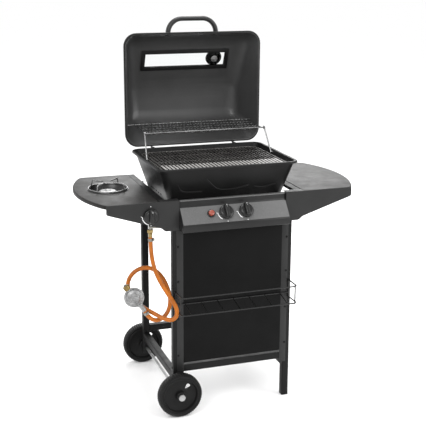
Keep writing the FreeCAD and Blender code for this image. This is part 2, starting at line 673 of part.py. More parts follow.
stemFront, stemBack = 13, -30
for label, x in knobPlaces.items():
    node(f"stem_{label}", plain(straight(along(x, stemBack), along(x, stemFront), s.stemDia / 2)))
node("stem_side", plain(straight(sidePoint(s.fasciaFront - stemFront), sidePoint(s.fasciaFront - stemBack), s.stemDia / 2)))


def knob(seat, axis):
    """Round knob with a thick grip bar, bored for its stem; seat is the point under it on the panel."""
    r = s.knobDia / 2
    base = Part.makeCylinder(r, 6, Vector(0, 0, s.knobTravel + 1))
    crown = Part.makeCone(r - 2, r - 5, 4, Vector(0, 0, s.knobTravel + 7))
    grip = Part.makeBox(11, 2 * r - 6, s.knobThick - 6, Vector(-5.5, -(r - 3), s.knobTravel + 7))
    bore = Part.makeCylinder(s.stemDia / 2 + s.stemRun, 13, Vector(0, 0, s.knobTravel + 0.5))
    solid = welded([base, crown, grip]).cut(bore)
    solid.Placement = Placement(seat, Rotation(Vector(1, 0, 0), Vector(0, 1, 0), axis, "ZXY"))
    return solid


for label, x in knobPlaces.items():
    node(f"knob_{label}", plain(knob(along(x, 0), outward)))
node("knob_side", plain(knob(sidePoint(s.fasciaFront), Vector(0, -1, 0))))


def igniterBody():
    r = s.buttonDia / 2
    tube = straight(along(igniterX, -44), along(igniterX, 0.2), r + 2.5)
    flange = straight(along(igniterX, 0.2), along(igniterX, 2.6), r + 4.5)
    bore = straight(along(igniterX, -15), along(igniterX, 4), r + 0.3)
    return tube.fuse(flange).cut(bore)


node("igniter_body", plain(igniterBody()))
node("igniter_button", plain(straight(along(igniterX, -9), along(igniterX, 9), s.buttonDia / 2)))


# ---------------------------------------------------------------- side burner
bowlLow = s.shelfTop - s.bowlDeep
rimRing = rod("bowlDia / 2", 1.4, "burnerX", "burnerY", "shelfTop + 0.1")
pot = rod("bowlHole / 2 - 0.6", "bowlDeep + 1", "burnerX", "burnerY", "shelfTop - bowlDeep")
hollowPot = rod("bowlHole / 2 - 1.8", "bowlDeep + 3", "burnerX", "burnerY", "shelfTop - bowlDeep + 1.2")
throat = rod("14.5", "6", "burnerX", "burnerY", "shelfTop - bowlDeep - 2")
node("side_burner_bowl", cut(fuse(rimRing, pot), hollowPot, throat))


def sideHead():
    """Cast mixing head under the cap, with its mixing tube running forward to the side valve."""
    middle = Vector(s.burnerX, s.burnerY, 0)
    neck = Part.makeCylinder(14, 26, middle + Vector(0, 0, 688))
    collar = Part.makeCylinder(20, 3, middle + Vector(0, 0, bowlLow - 3.2))
    head = Part.makeCone(15, 25, 10, middle + Vector(0, 0, bowlLow + 4))
    tube = straight(middle + Vector(0, 0, 694), Vector(s.sideKnobX - 1, -156, s.sideKnobZ), 9)
    mouth = straight(sidePoint(-163), sidePoint(-151), 4.8)
    return welded([neck, collar, head, tube]).cut(mouth)


node("side_burner_head", plain(sideHead()))
capLow = bowlLow + 14.3
capShape = Part.makeCone(s.capWide / 2, s.capWide / 2 - 3, 7, Vector(s.burnerX, s.burnerY, capLow))
capKnob = Part.makeCone(9, 6, 3, Vector(s.burnerX, s.burnerY, capLow + 6.9))
node("side_burner_cap", plain(capShape.fuse(capKnob)))


def potSupport():
    """Wire ring with four raised arms; it lies loose on the bowl's rim."""
    r = 2
    z = s.shelfTop + 1.5 + 0.3 + r
    middle = Vector(s.burnerX, s.burnerY, z)
    ringR = s.bowlHole / 2 - 1
    shapes = [Part.makeTorus(ringR, r, middle)]
    for turn in (45, 135, 225, 315):
        way = Vector(math.cos(math.radians(turn)), math.sin(math.radians(turn)), 0)
        path = [middle + way * ringR, middle + way * (ringR - 3) + Vector(0, 0, 20), middle + way * 20 + Vector(0, 0, 20)]
        shapes.append(bentRod(path, r, 5))
    return welded(shapes)


node("pot_support", plain(potSupport()))


# ---------------------------------------------------------------- lid, drawn closed
lidHigh = s.lidTop - s.lidLow
lidSpread = -math.tan(math.radians(s.lidTaper))
lidMiddleY = (s.lidFront + s.lidBack) / 2
lidDeep = s.lidBack - s.lidFront
slopeLow = Vector(0, -145, 908)
slopeHigh = Vector(0, -29, 956)
slopeAngle = math.atan2(slopeHigh.z - slopeLow.z, slopeHigh.y - slopeLow.y)


def lidProfile(inset):
    """Side outline of the lid: upright front, sloping window stretch, flat crown, leaning back."""
    front, back, low, top = s.lidFront + inset, s.lidBack - inset, s.lidLow, s.lidTop - inset
    lean = Vector(0, math.sin(slopeAngle), -math.cos(slopeAngle)) * inset
    a = Vector(0, front, low)
    b = Vector(0, front + 15, low + 50)
    c, d = slopeLow + lean, slopeHigh + lean
    e, f = Vector(0, 90, top), Vector(0, 132, top - 2)
    g = Vector(0, back - 52, low + 132 - inset)
    h = Vector(0, back, low)
    middleBC = Vector(0, -165 + inset, 895 - inset * 0.7)
    middleDE = Vector(0, 28, 970 - inset)
    middleFG = Vector(0, 147.5 - inset * 0.7, 967.5 - inset)
    edges = [Part.LineSegment(a, b), Part.Arc(b, middleBC, c), Part.LineSegment(c, d), Part.Arc(d, middleDE, e),
             Part.LineSegment(e, f), Part.Arc(f, middleFG, g), Part.LineSegment(g, h), Part.LineSegment(h, a)]
    return Part.Face(Part.Wire([edge.toShape() for edge in edges]))


def lidSolid(inset):
    block = tub(s.lidWide - 2 * inset, lidDeep - 2 * inset, s.lidCorner - inset, s.lidLow, s.lidTop + 5, lidSpread,
                lidMiddleY)
    prism = lidProfile(inset).extrude(Vector(s.lidWide, 0, 0))
    prism.translate(Vector(-s.lidWide / 2, 0, 0))
    return block.common(prism)


windowAt = (slopeLow + slopeHigh) * 0.5
slopeUp = Vector(0, -math.sin(slopeAngle), math.cos(slopeAngle))
onSlope = Rotation(Vector(1, 0, 0), math.degrees(slopeAngle))


def slopeBlock(wide, high, low, top):
    """Block on the window slope, from low to top along the slope's outward normal."""
    block = Part.makeBox(wide, high, top - low, Vector(-wide / 2, -high / 2, low))
    block.Placement = Placement(windowAt, onSlope)
    return block


def slopeRod(x, radius, low, top):
    return straight(windowAt + Vector(x, 0, 0) + slopeUp * low, windowAt + Vector(x, 0, 0) + slopeUp * top, radius)


linkTop = Vector(0, s.hingeY + s.linkLean, s.hingeZ + s.linkRise)
linkTopClosed = Vector(0, s.hingeY - s.linkRise, s.hingeZ + s.linkLean)
handleZ = 845
handleFaceY = s.lidFront + 15 * (handleZ - s.lidLow) / 50

shell = lidSolid(0)
inside = lidSolid(s.lidWall)
rim = tub(s.lidWide - 2 * s.lidWall, lidDeep - 2 * s.lidWall, s.lidCorner - s.lidWall, s.lidLow - 3, s.lidLow + 0.5,
          lidSpread, lidMiddleY)
lid = shell.cut(inside).cut(rim)
lid = lid.cut(slopeBlock(s.windowWide + 0.6, s.windowHigh + 0.6, -8, 8))
lid = lid.cut(straight(linkTopClosed + Vector(-s.lidWide, 0, 0), linkTopClosed + Vector(s.lidWide, 0, 0),
                       s.rackWire / 2 + 0.06))
node("lid", openLid(plain(lid)))

glassOut = 0.1
glassIn = glassOut - s.glassThick
glass = slopeBlock(s.windowWide, s.windowHigh, glassIn, glassOut)
thermoX = 112
node("window_glass", openLid(plain(glass.cut(slopeRod(thermoX, 4.3, -10, 10)))))
frameShapes = []
for low, top in ((glassOut + 0.1, glassOut + 2.3), (glassIn - 2.3, glassIn - 0.1)):
    outerRing = slopeBlock(s.windowWide + 2 * s.frameWide, s.windowHigh + 2 * s.frameWide, low, top)
    frameShapes.append(outerRing.cut(slopeBlock(s.windowWide - 8, s.windowHigh - 8, low - 1, top + 1)))
node("window_frame", openLid(plain(Part.makeCompound(frameShapes))))

gauge = slopeRod(thermoX, 30, glassOut + 2.6, glassOut + 14).fuse(slopeRod(thermoX, 4, glassIn - 14, glassOut + 3))
gauge = gauge.fuse(slopeRod(thermoX, 9, glassIn - 5, glassIn - 0.3))
node("thermometer", openLid(plain(gauge)))


def handle():
    """Moulded arch with a round foot at each end."""
    r = s.handleBar / 2
    half = s.handleWide / 2 - r
    crown = handleFaceY - s.handleReach + r
    points = [Vector(-half, handleFaceY - 2.5, handleZ), Vector(-half, crown, handleZ), Vector(half, crown, handleZ),
              Vector(half, handleFaceY - 2.5, handleZ)]
    arch = bentRod(points, r, 44)
    feet = [Part.makeCylinder(12, 6, Vector(side * half, handleFaceY - 8, handleZ), Vector(0, 1, 0)) for side in (-1, 1)]
    wedge = lidSolid(-0.3)
    return welded([arch] + feet).cut(wedge)


node("handle", openLid(plain(handle())))

hingeX = 150


def hingeLeaf(side):
    """Plate riveted to the back of the lid, turning on the bracket's pin."""
    pin = Vector(0, s.hingeY, s.hingeZ)
    back = lambda z: s.lidBack - 52 * (z - s.lidLow) / 132 + 0.05
    points = [Vector(0, back(832), 832), Vector(0, s.hingeY + 7, s.hingeZ), Vector(0, s.hingeY + 6, 832),
              Vector(0, back(884) + 6, 884), Vector(0, back(884), 884)]
    plate = Part.Face(Part.makePolygon(points + points[:1])).extrude(Vector(3, 0, 0))
    eye = Part.makeCylinder(7, 3, pin, Vector(1, 0, 0))
    bore = Part.makeCylinder(s.pinDia / 2 + s.pinRun, 5, pin - Vector(1, 0, 0), Vector(1, 0, 0))
    foot = Part.makeBox(16, 1.5, 44, Vector(0, 0, 0))
    foot.Placement = Placement(Vector(0, back(838), 838), Rotation(Vector(1, 0, 0), math.degrees(math.atan2(52, 132))))
    leaf = plate.fuse([eye, foot]).cut(bore)
    leaf.translate(Vector(side * hingeX + (3.3 if side > 0 else -6.3), 0, 0))
    if side < 0:
        leaf = leaf.mirror(Vector(-hingeX - 4.8, 0, 0), Vector(1, 0, 0))
    return leaf


node("lid_hinge_leaves", openLid(plain(Part.makeCompound([hingeLeaf(1), hingeLeaf(-1)]))))


def hingeBracket(side):
    """Bracket riveted to the firebox's back wall, with the hinge pin fixed in it."""
    pin = Vector(0, s.hingeY, s.hingeZ)
    wall = lambda z: s.boxCentreY + s.boxDeep / 2 - taper * (s.boxTop - z) + 0.1
    lipBack = s.boxCentreY + s.boxDeep / 2 + s.boxLip + 0.4
    points = [Vector(0, wall(772), 772), Vector(0, wall(818), 818), Vector(0, lipBack, s.boxTop - s.lipHigh - 0.4),
              Vector(0, lipBack, s.hingeZ + 2), Vector(0, s.hingeY, s.hingeZ + 6),
              Vector(0, s.hingeY + 6.5, s.hingeZ - 3), Vector(0, wall(772) + 12, 772)]
    plate = Part.Face(Part.makePolygon(points + points[:1])).extrude(Vector(3, 0, 0))
    eye = Part.makeCylinder(7, 3, pin, Vector(1, 0, 0))
    stud = Part.makeCylinder(s.pinDia / 2, 9.5, pin, Vector(1, 0, 0))
    head = Part.makeCylinder(s.pinDia / 2 + 2, 2, pin + Vector(6.8, 0, 0), Vector(1, 0, 0))
    bracket = plate.fuse([eye, stud, head])
    bracket.translate(Vector(hingeX, 0, 0))
    return bracket if side > 0 else bracket.mirror(Vector(0, 0, 0), Vector(1, 0, 0))


node("hinge_brackets", group(plain(hingeBracket(1)), plain(hingeBracket(-1))))


# ---------------------------------------------------------------- warming rack
def warmingRack():
    """Wire shelf; its back wire turns in the lid's sides and its front wire in the legs' eyes."""
    r = s.rackWire / 2
    back, front = linkTop.y, linkTop.y - s.linkBack
    z = linkTop.z
    half = s.rackWide / 2 - 6
    lidSide = s.lidWide / 2 + lidSpread * (linkTop.y - s.hingeY - (s.lidLow - s.hingeZ))
    shapes = [straight(Vector(-lidSide - 3, back, z), Vector(lidSide + 3, back, z), r),
              straight(Vector(-half - 12, front, z), Vector(half + 12, front, z), r)]
    for side in (-1, 1):
        shapes.append(straight(Vector(side * half, front, z), Vector(side * half, back, z), r - thinner))
    pitch = 2 * half / 16
    for n in range(1, 16):
        x = -half + pitch * n
        shapes.append(straight(Vector(x, front, z), Vector(x, back, z), r * 0.7))
    shapes.append(straight(Vector(-half, (front + back) / 2, z), Vector(half, (front + back) / 2, z), r * 0.85))
    return welded(shapes)


node("warming_rack", plain(warmingRack()))


def rackLeg(side):
    """Wire leg: a stub through the firebox wall, a splayed shank and an eye round the rack's front wire."""
    r = s.rackWire / 2
    eye = Vector(side * (s.rackWide / 2 + 4), linkTop.y - s.linkBack, linkTop.z)
    pivot = Vector(side * s.legSpread, s.hingeY - s.linkBack, s.hingeZ)
    way = (eye - pivot).normalize()
    shank = straight(pivot, eye - way * 5, r)
    stub = straight(pivot - Vector(side * 1, 0, 0), pivot + Vector(side * 11, 0, 0), r)
    ring = Part.makeCylinder(6.4, 3.4, eye - Vector(1.7, 0, 0), Vector(1, 0, 0))
    leg = welded([shank, stub, ring, Part.makeSphere(r + weldBead, pivot)])
    return leg.cut(Part.makeCylinder(r + 0.9, 8, eye - Vector(4, 0, 0), Vector(1, 0, 0)))


node("rack_legs", group(plain(rackLeg(-1)), plain(rackLeg(1))))


# ---------------------------------------------------------------- wire rack on the front
def wireRack():
    r = s.wireDia / 2
    half = 200
    legFace = -s.cartDepth / 2
    shapes = []
    for z in (s.rackTopZ, s.rackBaseZ):
        path = [Vector(-half, legFace, z), Vector(-half, s.rackFront, z), Vector(half, s.rackFront, z),
                Vector(half, legFace, z)]
        shapes.append(bentRod(path, r, 12))
    shapes.append(straight(Vector(-half, s.rackBack, s.rackBackZ), Vector(half, s.rackBack, s.rackBackZ),
                           r - 2 * thinner))
    for side in (-1, 1):
        for y, low in ((-264, s.rackBaseZ - 9), (s.rackBack, s.rackBaseZ)):
            shapes.append(straight(Vector(side * half, y, low), Vector(side * half, y, s.rackTopZ), r - thinner))
    for n in range(-3, 4):
        shapes.append(straight(Vector(n * 56, s.rackFront, s.rackBaseZ), Vector(n * 56, s.rackBack, s.rackBackZ), r * 0.8))
    return welded(shapes)


node("wire_rack", plain(wireRack()))


# ---------------------------------------------------------------- gas hose and regulator
hoseRoute = [hoseStart] + [Vector(*point) for point in (
    (-272, -170, 574), (-269, -173, 534), (-261, -183, 494), (-247, -200, 459), (-230, -221, 427),
    (-215, -238, 401), (-208, -247, 381), (-210, -254, 361), (-226, -254, 348), (-249, -240, 351), (-274, -213, 362),
    (-300, -184, 374), (-325, -161, 391), (-343, -148, 420), (-345, -141, 455), (-327, -139, 484),
    (-296, -143, 501), (-262, -152, 498), (-235, -166, 473), (-221, -186, 439), (-217, -204, 404),
    (-223, -212, 374), (-239, -216, 350), (-265, -217, 338), (-291, -213, 347), (-305, -206, 372))]


def hose():
    radii = []

    def bend(before, after, turn):
        radii.append(0.45 * min(before, after) / math.tan(turn / 2))
        return radii[-1]

    path = wire(hoseRoute, bend)
    tube = sweep(path, hoseRoute, s.hoseDia / 2)
    section = math.pi * (s.hoseDia / 2) ** 2
    print("hose length", round(path.Length), "radii", [round(r) for r in radii])
    print("hose volume over section x length", round(tube.Volume / section / path.Length, 4))
    return tube


node("hose", plain(hose()))

outletWay = (hoseRoute[-2] - hoseRoute[-1]).normalize()
outletEnd = hoseRoute[-1]
regulatorAt = Vector(-338, -200, 421)
outletTurn = (outletEnd - regulatorAt).normalize()
faceWay = outletTurn.cross(Vector(0, 0, 1)).normalize()
if faceWay.y > 0:
    faceWay = faceWay * -1


def regulator():
    """Diaphragm housing with its outlet neck and the inlet neck opposite."""
    body = Part.makeCylinder(28, 18, regulatorAt + faceWay * -9, faceWay)
    bead = Part.makeCylinder(33, 7, regulatorAt + faceWay * -3.5, faceWay)
    dome = Part.makeCone(26, 15, 10, regulatorAt + faceWay * 8.9, faceWay)
    neck = straight(regulatorAt + outletTurn * 20, outletEnd - outletWay * 12, 8)
    spigot = straight(outletEnd - outletWay * 14, outletEnd, 6.8)
    knuckle = Part.makeSphere(8 + weldBead, outletEnd - outletWay * 12)
    inlet = straight(regulatorAt, regulatorAt - outletTurn * 52, 5)
    collar = straight(regulatorAt - outletTurn * 33, regulatorAt - outletTurn * 20, 8)
    return welded([body, bead, dome, neck, knuckle, spigot, inlet, collar])


node("regulator", plain(regulator()))
nutBody = straight(regulatorAt - outletTurn * 50, regulatorAt - outletTurn * 33.4, 11)
nutBody = nutBody.cut(straight(regulatorAt - outletTurn * 53, regulatorAt - outletTurn * 30, 5.06))
node("regulator_nut", plain(nutBody))

clamps = []
for at, way in ((hoseRoute[0] + (hoseRoute[1] - hoseRoute[0]).normalize() * 9, (hoseRoute[1] - hoseRoute[0]).normalize()),
                (hoseRoute[-1] + outletWay * 9, outletWay)):
    band = straight(at - way * 4.5, at + way * 4.5, s.hoseDia / 2 + 1.2)
    band = band.cut(straight(at - way * 6, at + way * 6, s.hoseDia / 2 + 0.1))
    sideWay = way.cross(Vector(0, 1, 0)).normalize()
    lug = straight(at + sideWay * (s.hoseDia / 2 + 3.6) - Vector(0, 6, 0), at + sideWay * (s.hoseDia / 2 + 3.6) + Vector(0, 6, 0), 3)
    clamps.append(plain(welded([band, lug])))
node("hose_clamps", group(*clamps))


# ---------------------------------------------------------------- screws
def screw(at, way, reach=2.2, radius=4):
    """Pan head with a cross slot, its washer face at the given point."""
    head = Part.makeCone(radius, radius * 0.7, reach, at, way)
    slot = Part.makeBox(radius, 0.8, 1, Vector(-radius / 2, -0.4, reach - 0.6))
    slot.Placement = Placement(at, Rotation(Vector(0, 0, 1), way))
    return head.cut(slot)


forward = Vector(0, -1, 0)
screwList = []
for side in (-1, 1):
    screwX = side * (s.cartWidth / 2 - s.legTube + 5.5)
    for z in (200, 330, 460, 579):
        screwList.append(screw(Vector(screwX, s.fasciaFront - 0.05, z), forward))
    outX = side * (s.cartWidth / 2 + 0.05)
    for legY in (-s.cartDepth / 2 + s.legTube / 2, s.cartDepth / 2 - s.legTube / 2):
        for z in (s.crossRailLow + s.legTube / 2 + 2, s.upperRailLow - 14):
            screwList.append(screw(Vector(outX, legY, z), Vector(side, 0, 0)))
node("screws", group(*[plain(shape) for shape in screwList]))


# ---------------------------------------------------------------- checks and export
doc.recompute()
for item in doc.Objects:
    if "Invalid" in item.State or "Error" in item.State:
        raise SystemExit(f"{item.Name} {item.Label} failed: {item.State}")
for item in nodes:
    if item.Shape.isNull() or not item.Shape.isValid() or not item.Shape.Solids:
        raise SystemExit(f"{item.Label} has no valid shape")
os.makedirs("parts", exist_ok=True)
for item in nodes:
    item.Shape.exportStep(f"parts/{item.Label}.step")
print(len(nodes), "nodes")
whole = Part.makeCompound([item.Shape for item in nodes])
print("box", whole.BoundBox)
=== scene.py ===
import bpy
import bmesh
import json
import math
from mathutils import Matrix, Vector


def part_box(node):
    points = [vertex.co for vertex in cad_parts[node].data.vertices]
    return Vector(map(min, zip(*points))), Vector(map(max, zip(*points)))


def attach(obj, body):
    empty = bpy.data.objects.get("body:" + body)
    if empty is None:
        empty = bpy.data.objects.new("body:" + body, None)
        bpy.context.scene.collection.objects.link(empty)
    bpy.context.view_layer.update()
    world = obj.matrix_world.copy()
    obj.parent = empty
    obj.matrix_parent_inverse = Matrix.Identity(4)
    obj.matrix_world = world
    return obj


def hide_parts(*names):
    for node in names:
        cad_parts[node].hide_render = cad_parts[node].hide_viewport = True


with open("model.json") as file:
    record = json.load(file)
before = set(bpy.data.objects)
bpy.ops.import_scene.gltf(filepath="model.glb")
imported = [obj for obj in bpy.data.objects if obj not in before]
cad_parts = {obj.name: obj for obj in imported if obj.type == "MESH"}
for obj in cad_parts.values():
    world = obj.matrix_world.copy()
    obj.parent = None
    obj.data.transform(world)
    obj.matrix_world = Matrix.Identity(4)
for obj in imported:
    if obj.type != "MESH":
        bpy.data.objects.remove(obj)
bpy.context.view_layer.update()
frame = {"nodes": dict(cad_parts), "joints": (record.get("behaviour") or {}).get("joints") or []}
cadNodes = frame["nodes"]
print("frame loaded:", len(cadNodes), "nodes")


# ---- camera, floor and light
shot = {"place": (-1.0616, -3.1241, 1.4974), "down": 15.0, "turn": 19.0, "roll": 0.25, "lens": 82.1}


def makeCamera():
    data = bpy.data.cameras.new("camera")
    data.lens = shot["lens"]
    data.sensor_width = 36
    data.clip_end = 60
    camera = bpy.data.objects.new("camera", data)
    turn = Matrix.Rotation(math.radians(-shot["turn"]), 4, "Z")
    tip = Matrix.Rotation(math.radians(90 - shot["down"]), 4, "X")
    roll = Matrix.Rotation(math.radians(shot["roll"]), 4, "Z")
    camera.matrix_world = Matrix.Translation(shot["place"]) @ turn @ tip @ roll
    bpy.context.collection.objects.link(camera)
    bpy.context.scene.camera = camera


makeCamera()

studio = {"floorSize": 30, "floorShade": 0.96, "skyShade": 1.0, "skyPower": 1.04,
          "keyPower": 80, "fillPower": 62, "topPower": 60, "backPower": 55}


def areaLight(name, place, target, size, power):
    data = bpy.data.lights.new(name, "AREA")
    data.size = size
    data.energy = power
    lamp = bpy.data.objects.new(name, data)
    lamp.location = place
    lamp.rotation_mode = "QUATERNION"
    lamp.rotation_quaternion = (Vector(target) - Vector(place)).to_track_quat("-Z", "Y")
    bpy.context.collection.objects.link(lamp)


def makeStudio():
    bm = bmesh.new()
    bmesh.ops.create_grid(bm, x_segments=1, y_segments=1, size=studio["floorSize"])
    mesh = bpy.data.meshes.new("floor")
    bm.to_mesh(mesh)
    bm.free()
    floor = bpy.data.objects.new("floor", mesh)
    bpy.context.collection.objects.link(floor)
    mat = bpy.data.materials.new("floorPaper")
    mat.use_nodes = True
    nodes, links = mat.node_tree.nodes, mat.node_tree.links
    shader = nodes["Principled BSDF"]
    shader.inputs["Roughness"].default_value = 0.9
    shader.inputs["Specular IOR Level"].default_value = 0.1
    coords = nodes.new("ShaderNodeTexCoord")
    grain = nodes.new("ShaderNodeTexNoise")
    grain.inputs["Scale"].default_value = 3
    ramp = nodes.new("ShaderNodeValToRGB")
    shade = studio["floorShade"]
    ramp.color_ramp.elements[0].color = (shade - 0.01, shade - 0.01, shade - 0.01, 1)
    ramp.color_ramp.elements[1].color = (shade + 0.01, shade + 0.01, shade + 0.01, 1)
    links.new(coords.outputs["Object"], grain.inputs["Vector"])
    links.new(grain.outputs["Fac"], ramp.inputs["Fac"])
    links.new(ramp.outputs["Color"], shader.inputs["Base Color"])
    mesh.materials.append(mat)
    world = bpy.data.worlds.new("studioWorld")
    world.use_nodes = True
    back = world.node_tree.nodes["Background"]
    sky = studio["skyShade"]
    back.inputs["Color"].default_value = (sky, sky, sky, 1)
    back.inputs["Strength"].default_value = studio["skyPower"]
    bpy.context.scene.world = world
    bpy.context.scene.view_settings.view_transform = "Standard"
    areaLight("keyLight", (-2.6, -2.4, 3.0), (0, 0, 0.7), 2.2, studio["keyPower"])
    areaLight("fillLight", (2.8, -2.2, 2.0), (0, 0, 0.6), 2.5, studio["fillPower"])
    areaLight("topLight", (0.2, 0.4, 3.4), (0, 0, 0.7), 2.0, studio["topPower"])
    areaLight("backLight", (1.2, 3.0, 2.4), (0, 0, 0.7), 2.2, studio["backPower"])


makeStudio()
print("camera, floor and light made")


# ---- materials
def newMaterial(name):
    mat = bpy.data.materials.new(name)
    mat.use_nodes = True
    tree = mat.node_tree
    return mat, tree, tree.nodes["Principled BSDF"]


def noiseOf(tree, coords, scale, detail=4.0, rough=0.6):
    noise = tree.nodes.new("ShaderNodeTexNoise")
    noise.inputs["Scale"].default_value = scale
    noise.inputs["Detail"].default_value = detail
    noise.inputs["Roughness"].default_value = rough
    tree.links.new(coords, noise.inputs["Vector"])
    return noise.outputs["Fac"]


def rampOf(tree, fac, low, high, start=0.3, end=0.7):
    ramp = tree.nodes.new("ShaderNodeValToRGB")
    ramp.color_ramp.elements[0].position = start
    ramp.color_ramp.elements[1].position = end
    ramp.color_ramp.elements[0].color = (*low, 1)
    ramp.color_ramp.elements[1].color = (*high, 1)
    tree.links.new(fac, ramp.inputs["Fac"])
    return ramp.outputs["Color"]


def spanOf(tree, fac, low, high):
    span = tree.nodes.new("ShaderNodeMapRange")
    span.inputs["From Min"].default_value = 0.3
    span.inputs["From Max"].default_value = 0.7
    span.inputs["To Min"].default_value = low
    span.inputs["To Max"].default_value = high
    tree.links.new(fac, span.inputs["Value"])
    return span.outputs["Result"]


finishes = {}


# one finish: dark and light colour, patch size, roughness range, grain size and depth
def finish(name, dark, light, patch, rough, grain, depth, metal=0.0, specular=0.5, coat=0.0, speck=None):
    mat, tree, shader = newMaterial(name)
    shader.inputs["Metallic"].default_value = metal
    shader.inputs["Specular IOR Level"].default_value = specular
    shader.inputs["Coat Weight"].default_value = coat
    shader.inputs["Coat Roughness"].default_value = 0.2
    coords = tree.nodes.new("ShaderNodeTexCoord").outputs["Object"]
    patches = noiseOf(tree, coords, patch)
    colour = rampOf(tree, patches, dark, light)
    if speck:
        flakes = tree.nodes.new("ShaderNodeTexVoronoi")
        flakes.inputs["Scale"].default_value = speck["scale"]
        tree.links.new(coords, flakes.inputs["Vector"])
        mask = rampOf(tree, flakes.outputs["Color"], (0, 0, 0), (1, 1, 1), speck["start"], 1.0)
        mix = tree.nodes.new("ShaderNodeMix")
        mix.data_type = "RGBA"
        tree.links.new(mask, mix.inputs[0])
        tree.links.new(colour, mix.inputs[6])
        mix.inputs[7].default_value = (*speck["colour"], 1)
        colour = mix.outputs[2]
    tree.links.new(colour, shader.inputs["Base Color"])
    tree.links.new(spanOf(tree, noiseOf(tree, coords, patch * 3), *rough), shader.inputs["Roughness"])
    bump = tree.nodes.new("ShaderNodeBump")
    bump.inputs["Strength"].default_value = 0.6
    bump.inputs["Distance"].default_value = depth
    tree.links.new(noiseOf(tree, coords, grain, 3.0), bump.inputs["Height"])
    tree.links.new(bump.outputs["Normal"], shader.inputs["Normal"])
    finishes[name] = mat


def grey(value, warm=0.0):
    return (value * (1 + warm), value, value * (1 - warm))


finish("framePaint", grey(0.0035), grey(0.0065), 9, (0.42, 0.56), 900, 0.0001, specular=0.17)
finish("panelPaint", grey(0.0016), grey(0.0030), 6, (0.45, 0.6), 700, 0.00012, specular=0.10)
finish("fasciaPaint", grey(0.010), grey(0.015), 8, (0.38, 0.5), 700, 0.0001, specular=0.28)
finish("consolePaint", grey(0.085), grey(0.11), 7, (0.36, 0.46), 1100, 0.00006, metal=0.35, specular=0.4,
       speck={"scale": 1500, "start": 0.75, "colour": grey(0.2)})
finish("consoleDark", grey(0.007), grey(0.012), 8, (0.30, 0.42), 900, 0.00008, specular=0.26)
finish("shelfPaint", grey(0.007, 0.06), grey(0.012, 0.06), 7, (0.40, 0.52), 420, 0.0003, specular=0.17,
       speck={"scale": 900, "start": 0.7, "colour": grey(0.04, 0.04)})
finish("castPaint", grey(0.0045), grey(0.0080), 7, (0.36, 0.48), 650, 0.00025, specular=0.18)
finish("castInside", grey(0.024), grey(0.034), 6, (0.36, 0.46), 500, 0.0003, specular=0.6)
finish("grateEnamel", grey(0.05, 0.04), grey(0.13, 0.04), 25, (0.22, 0.4), 500, 0.0002, metal=0.6,
       specular=0.4)
finish("chromeWire", grey(0.20), grey(0.34), 20, (0.16, 0.28), 600, 0.00005, metal=1.0)
finish("darkWire", grey(0.005), grey(0.010), 20, (0.3, 0.42), 600, 0.0001, specular=0.35)
finish("rackSteel", grey(0.10), grey(0.24), 24, (0.2, 0.34), 600, 0.00006, metal=0.95)
# light steel for the flats on the front stretch of the grate: painted highlight, its light colour stands in
# for the studio light reflected off the front of the grate
finish("brightSteel", grey(0.20, 0.03), grey(0.32, 0.03), 30, (0.4, 0.55), 700, 0.0001, metal=0.1)
finish("plainSteel", grey(0.32), grey(0.5), 15, (0.28, 0.42), 700, 0.0001, metal=1.0)
finish("heatSteel", (0.16, 0.13, 0.11), (0.34, 0.33, 0.32), 9, (0.3, 0.5), 500, 0.0002, metal=0.9)
finish("zincSteel", (0.14, 0.135, 0.12), (0.30, 0.29, 0.26), 30, (0.3, 0.45), 700, 0.0001, metal=1.0)
finish("brassBright", (0.20, 0.14, 0.055), (0.38, 0.28, 0.12), 40, (0.25, 0.4), 900, 0.0001, metal=1.0)
finish("wheelPlastic", grey(0.004), grey(0.008), 12, (0.45, 0.6), 800, 0.0002, specular=0.18)
finish("knobPlastic", grey(0.004), grey(0.008), 30, (0.25, 0.36), 1200, 0.00006, specular=0.35)
finish("handlePlastic", grey(0.004), grey(0.008), 20, (0.30, 0.42), 1100, 0.00012, specular=0.4)
finish("redPlastic", (0.20, 0.035, 0.02), (0.28, 0.055, 0.03), 60, (0.22, 0.32), 1200, 0.00005, coat=0.3)
finish("whiteInk", grey(0.7), grey(0.85), 200, (0.4, 0.5), 1500, 0.00003)
finish("hoseOrange", (0.27, 0.070, 0.002), (0.42, 0.115, 0.003), 28, (0.34, 0.46), 900, 0.00015, specular=0.3)
finish("castZinc", grey(0.13), grey(0.36), 110, (0.28, 0.5), 420, 0.0005, metal=0.8)
finish("castAluminium", grey(0.14), grey(0.42), 130, (0.28, 0.42), 520, 0.0003, metal=0.8)
finish("bowlEnamel", grey(0.008), grey(0.014), 14, (0.25, 0.36), 700, 0.00008, specular=0.4)
finish("rubberFoot", grey(0.004), grey(0.008), 40, (0.6, 0.75), 900, 0.0002, specular=0.2)


def makeGlass():
    mat, tree, shader = newMaterial("windowGlass")
    coords = tree.nodes.new("ShaderNodeTexCoord").outputs["Object"]
    haze = noiseOf(tree, coords, 14)
    tree.links.new(spanOf(tree, haze, 0.02, 0.06), shader.inputs["Roughness"])
    tree.links.new(rampOf(tree, haze, (0.93, 0.95, 0.95), (0.97, 0.98, 0.98)), shader.inputs["Base Color"])
    shader.inputs["Transmission Weight"].default_value = 1.0
    shader.inputs["IOR"].default_value = 1.01
    shader.inputs["Specular IOR Level"].default_value = 0.5
    return mat


finishes["windowGlass"] = makeGlass()
print("finishes made:", len(finishes))


# ---- mesh helpers
def boxOf(name):
    low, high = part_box(name)
    return Vector(low), Vector(high)


def vertsIn(made):
    return [item for item in made["geom"] if isinstance(item, bmesh.types.BMVert)]


def shadeByAngle(bm, degrees):
    for face in bm.faces:
        face.smooth = True
    limit = math.radians(degrees)
    for edge in bm.edges:
        edge.smooth = len(edge.link_faces) != 2 or edge.calc_face_angle(0) < limit


